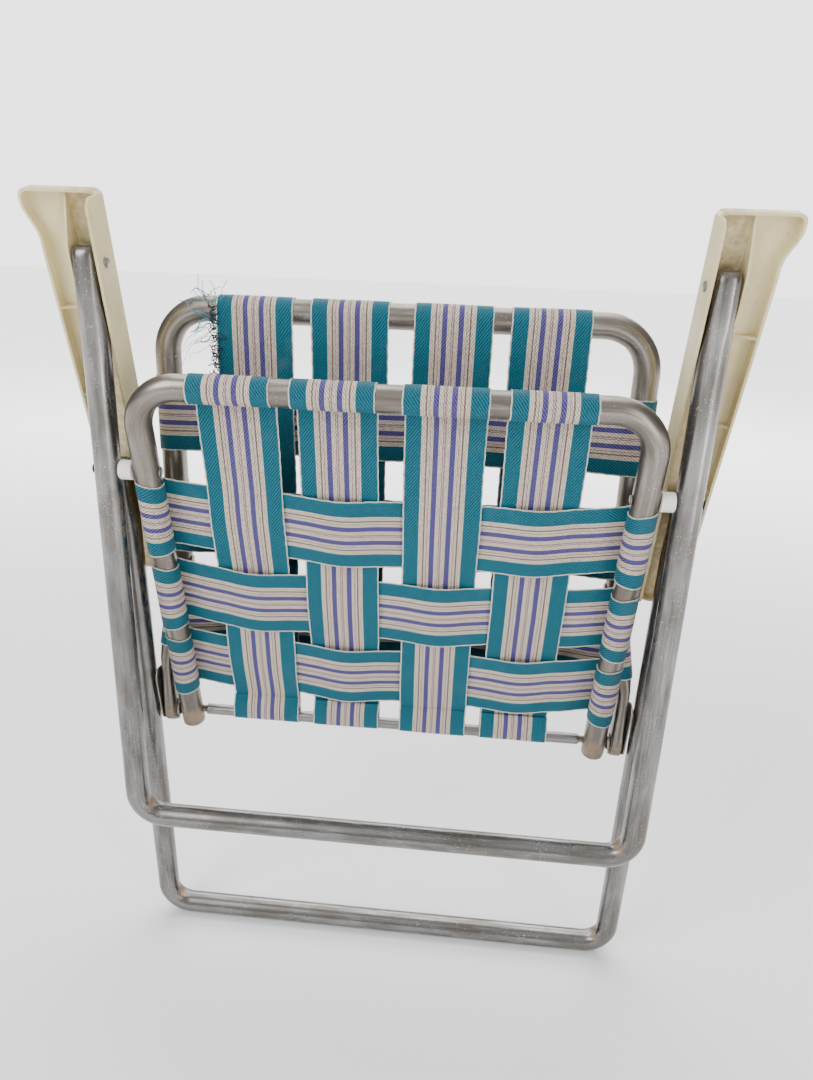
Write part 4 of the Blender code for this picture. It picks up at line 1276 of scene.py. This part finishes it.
def cross_edge(level, signs, hook, bow, facing):
    """(x, y) path of one edge of a cross strap; y is measured off its frame's plane."""
    left = [(-x, y) for x, y in reversed(hook)]
    start, end = left[-1], hook[0]
    count = round((end[0] - start[0]) / CLOTH_STEP)
    run = []
    for k in range(1, count):
        x = start[0] + (end[0] - start[0]) * k / count
        inner = smooth_step((abs(x) - LONG_STRAPS[-1] - STRAP_W * 0.52)
                            / (end[0] - LONG_STRAPS[-1] - STRAP_W * 0.52))
        woven = level + WEAVE * over_under(x, LONG_STRAPS, signs, STRAP_W * 0.515)
        woven += bow * facing * crown(x, LONG_STRAPS, signs, STRAP_W * 1.22, facing)
        run.append((x, woven + (end[1] - woven) * inner))
    return left + run + hook


def hung(x, half, droop, flare, side):
    """Change of height along a slack strap: low in its middle, high and splayed at its hooks."""
    middle = math.cos(min(abs(x) / half, 1.0) * math.pi / 2) ** 0.8
    outside = smooth_step((abs(x) - half * 0.93) / (half * 0.10))
    return droop * (0.55 - 1.25 * middle) + flare * side * outside


def cross_strap(name, rows_z, edges, material, place, tilt, body, node, seed, rests_on,
                droop=0.0, flare=0.0):
    count = max(round(np.linalg.norm(np.diff(np.array(e), axis=0), axis=1).sum() / CLOTH_STEP)
                for e in edges)
    lines = []
    for side, z, edge in zip((-1, 1), rows_z, edges):
        points = np.array(edge, float)
        lengths = np.linalg.norm(np.diff(points, axis=0), axis=1)
        travelled = np.concatenate([[0], np.cumsum(lengths)])
        places = np.linspace(0, travelled[-1], count + 1)
        x_line = np.interp(places, travelled, points[:, 0])
        heights = [z + hung(x, SEAT_HALF, droop, flare, side) for x in x_line]
        line = np.column_stack([x_line, np.interp(places, travelled, points[:, 1]), heights])
        lines.append(softened(line, 1))
    return ribbon(name, lines[0], lines[1], material, place, tilt, body, node, seed, rests_on)


def seat_cross_straps():
    made = []
    for row, centre in enumerate(SEAT_ROWS):
        signs = [-seat_lift(column, row) for column in range(len(LONG_STRAPS))]
        hook = side_hook(1, (SEAT_HALF, TUBE_R, TUBE_R), HOOK_LEAD, SEAT_HOOK_TURN)
        rows_z = (centre - STRAP_W / 2, centre + STRAP_W / 2)
        edges = [cross_edge(seat_level(z), signs, hook, SEAT_BOW, -1) for z in rows_z]
        made.append(cross_strap(f"seat_webbing_cross_{row + 1}", rows_z, edges, WEBBING, SEAT_PIVOT,
                                SEAT_TILT, "seat", f"seat_cross_strap_{row + 1}", 31 + row,
                                ["seat_tube"], SEAT_DROOP[row], HOOK_SPLAY))
    return made


def past_seat_tube(z):
    """Where the lowest back strap is held clear of the folded seat's side tube."""
    surface = (WRAP_R + STRAP_T) / math.cos(SEAT_TILT) - z * math.tan(SEAT_TILT)
    clear = max(surface + STRAP_T, -WRAP_R)
    return [(SEAT_HALF - TUBE_R, clear + STRAP_T * 2), (SEAT_HALF + STRAP_T * 3, clear)]


def back_cross_straps():
    made = []
    for row, centre in enumerate(BACK_ROWS):
        signs = [-back_lift(column, row) for column in range(len(LONG_STRAPS))]
        rows_z = (centre - STRAP_W / 2, centre + STRAP_W / 2)
        edges = []
        for z in rows_z:
            x, width, deep = back_side(z)
            lowest = row == len(BACK_ROWS) - 1
            loose = SPLAY_CLEAR if lowest else 0.0
            hook = side_hook(-1, (x, width + loose, deep), LOW_LEAD if lowest else HOOK_LEAD)
            if lowest and z < centre:
                hook = past_seat_tube(z) + hook
            edges.append(cross_edge(back_level(z), signs, hook, 0.0 if lowest else BACK_BOW, -1))
        made.append(cross_strap(f"back_webbing_cross_{row + 1}", rows_z, edges, WEBBING, REAR_ROD,
                                0.0, "back", f"back_cross_strap_{row + 1}", 41 + row,
                                ["back_tube"], BACK_DROOP[row], 0.0))
    return made


def thread_bundle(name, starts, material, body, seed, reach, thick, droop):
    """Loose yarn ends: thin curved tubes, each from its own start."""
    rng = np.random.default_rng(seed)
    curve = bpy.data.curves.new(name, "CURVE")
    curve.dimensions = "3D"
    curve.bevel_depth = thick
    curve.bevel_resolution = 2
    curve.resolution_u = 6
    for start, direction in starts:
        spline = curve.splines.new("NURBS")
        length = reach * rng.uniform(0.45, 1.0)
        points = [start]
        heading = Vector(direction).normalized()
        for _ in range(7):
            wander = Vector(rng.normal(0, 0.33, 3))
            heading = (heading + wander + Vector((0, 0, -droop))).normalized()
            points.append(points[-1] + heading * length / 7)
        spline.points.add(len(points) - 1)
        for point, place in zip(spline.points, points):
            point.co = (*place, 1)
        spline.use_endpoint_u = True
        spline.order_u = 4
    obj = bpy.data.objects.new(name, curve)
    bpy.context.collection.objects.link(obj)
    mesh = bpy.data.meshes.new_from_object(obj)
    bpy.data.objects.remove(obj, do_unlink=True)
    mesh.materials.clear()
    mesh.materials.append(material)
    mesh.shade_smooth()
    obj = bpy.data.objects.new(name, mesh)
    bpy.context.collection.objects.link(obj)
    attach(obj, body)
    return obj


def frayed_edge():
    """Broken yarns down the outer edge of the first back strap, and loose ends at its top."""
    rng = np.random.default_rng(7)
    edge_x = LONG_STRAPS[0] - STRAP_W / 2
    top = REAR_ROD + Vector((edge_x, 0, BACK_HEIGHT))
    ladder, tufts, grey = [], [], []
    for k in range(46):
        drop = -0.004 + 0.0018 * k + 0.002 * rng.random()
        start = top + Vector((-0.006 + 0.003 * rng.random(), -WRAP_R - 0.001, -drop))
        ladder.append((start, (1.0, rng.normal(-0.05, 0.1), rng.normal(0, 0.25))))
    for k in range(10):
        start = top + Vector((-0.007 + 0.007 * rng.random(), -WRAP_R - 0.001, 0.006 - 0.008 * k))
        ladder.append((start, (rng.normal(0, 0.15), -0.05, -1.0)))
    for k in range(30):
        start = top + Vector((rng.uniform(-0.012, 0.002), rng.uniform(-0.012, 0.0),
                              rng.uniform(-0.02, 0.012)))
        tufts.append((start, (rng.normal(-0.6, 0.6), -0.2, rng.normal(0.5, 0.7))))
    for k in range(7):
        start = top + Vector((0.002, -0.012, rng.uniform(-0.035, 0.0)))
        grey.append((start, (-1.0, -0.15, rng.normal(-0.2, 0.4))))
    return [
        thread_bundle("frayed_dark_threads", ladder, DARK_THREAD, "back", 3, 0.016, 0.00055, 0.0),
        thread_bundle("frayed_blue_threads", tufts, BLUE_THREAD, "back", 4, 0.036, 0.00032, 0.02),
        thread_bundle("frayed_grey_threads", grey, GREY_THREAD, "back", 5, 0.060, 0.00022, 0.10),
    ]


def webbing_pieces():
    straps = seat_long_straps() + back_long_straps() + seat_cross_straps() + back_cross_straps()
    frayed = frayed_edge()


# ---------------------------------------------------------------- floor, light and camera
CAMERA_PLACE = Vector((0.07004, -0.70102, 0.19328))   # from the seat pivot
CAMERA_RIGHT = Vector((0.99536313, 0.08854256, 0.03758274))
CAMERA_DOWN = Vector((0.06466818, -0.32675567, -0.94289382))
CAMERA_LOOK = Vector((-0.07120586, 0.94095215, -0.33096643))
CAMERA_LENS = 25.78


def pale_floor():
    bpy.ops.mesh.primitive_plane_add(size=60, location=(0, 20.0, 0))
    floor = bpy.context.object
    floor.name = "pale_floor"
    made, tree, shader = new_material("pale floor")
    shader.inputs["Base Color"].default_value = (0.92, 0.92, 0.92, 1)
    shader.inputs["Roughness"].default_value = 0.9
    reach = add_node(tree, "ShaderNodeVectorMath", {0: place_of(tree), 1: (0, -20.0, 0)},
                     operation="DISTANCE").outputs["Value"]
    mottle = between(tree, noise(tree, place_of(tree), 3.0), 0.3, 0.7, 0.985, 1.0)
    tree.links.new(maths(tree, "MULTIPLY", between(tree, reach, 0.7, 4.0, 0.0, 1.9), mottle),
                   shader.inputs["Emission Strength"])
    shader.inputs["Emission Color"].default_value = (1, 1, 1, 1)
    floor.data.materials.append(made)


def studio_world():
    """Soft room: bright above, darker at the sides for the metal, white to the camera."""
    world = bpy.data.worlds.new("studio")
    bpy.context.scene.world = world
    world.use_nodes = True
    tree = world.node_tree
    back = tree.nodes["Background"]
    direction = add_node(tree, "ShaderNodeTexCoord").outputs["Generated"]
    parts = add_node(tree, "ShaderNodeSeparateXYZ", {"Vector": direction})
    up = between(tree, parts.outputs["Z"], -0.1, 0.75, 0.0, 1.0)
    room = mixed(tree, up, (0.42, 0.42, 0.43), (1.0, 1.0, 1.0))
    sides = between(tree, maths(tree, "ABSOLUTE", parts.outputs["X"]), 0.35, 0.85)
    room = mixed(tree, maths(tree, "MULTIPLY", sides, 0.60), room, (0.12, 0.12, 0.13))
    seen = add_node(tree, "ShaderNodeLightPath").outputs["Is Camera Ray"]
    colour = mixed(tree, seen, room, (3.2, 3.2, 3.2))
    tree.links.new(colour, back.inputs["Color"])
    back.inputs["Strength"].default_value = 0.92


def soft_light(name, place, target, size, power, colour=(1, 1, 1)):
    light = bpy.data.lights.new(name, "AREA")
    light.shape = "RECTANGLE"
    light.size, light.size_y = size
    light.energy = power
    light.color = colour
    obj = bpy.data.objects.new(name, light)
    obj.location = place
    aim = Vector(target) - Vector(place)
    obj.rotation_euler = aim.to_track_quat("-Z", "Y").to_euler()
    bpy.context.collection.objects.link(obj)


def lights():
    middle = (0, 0, 0.45)
    soft_light("window_light", (-1.5, -1.7, 2.0), middle, (1.2, 1.8), 52, (0.95, 0.98, 1.0))
    soft_light("front_fill", (1.7, -1.9, 1.0), middle, (0.5, 2.0), 22, (1.0, 0.98, 0.95))
    soft_light("top_light", (0.0, 0.6, 2.6), middle, (2.4, 1.4), 45)
    soft_light("floor_light", (0.0, 3.2, 2.4), (0, 2.2, 0), (4.0, 2.0), 140)


def camera():
    data = bpy.data.cameras.new("camera")
    data.lens = CAMERA_LENS
    data.sensor_width = 36.0
    data.clip_end = 100.0
    obj = bpy.data.objects.new("camera", data)
    basis = Matrix((CAMERA_RIGHT, -CAMERA_DOWN, -CAMERA_LOOK)).transposed()
    obj.matrix_world = Matrix.Translation(SEAT_PIVOT + CAMERA_PLACE) @ basis.to_4x4()
    bpy.context.collection.objects.link(obj)
    bpy.context.scene.camera = obj


front_legs()
rear_legs()
seat_tube()
back_tube()
rivets()
link_rivets()
spacers()
rod()
links()
arms()
webbing_pieces()
pale_floor()
studio_world()
lights()
camera()
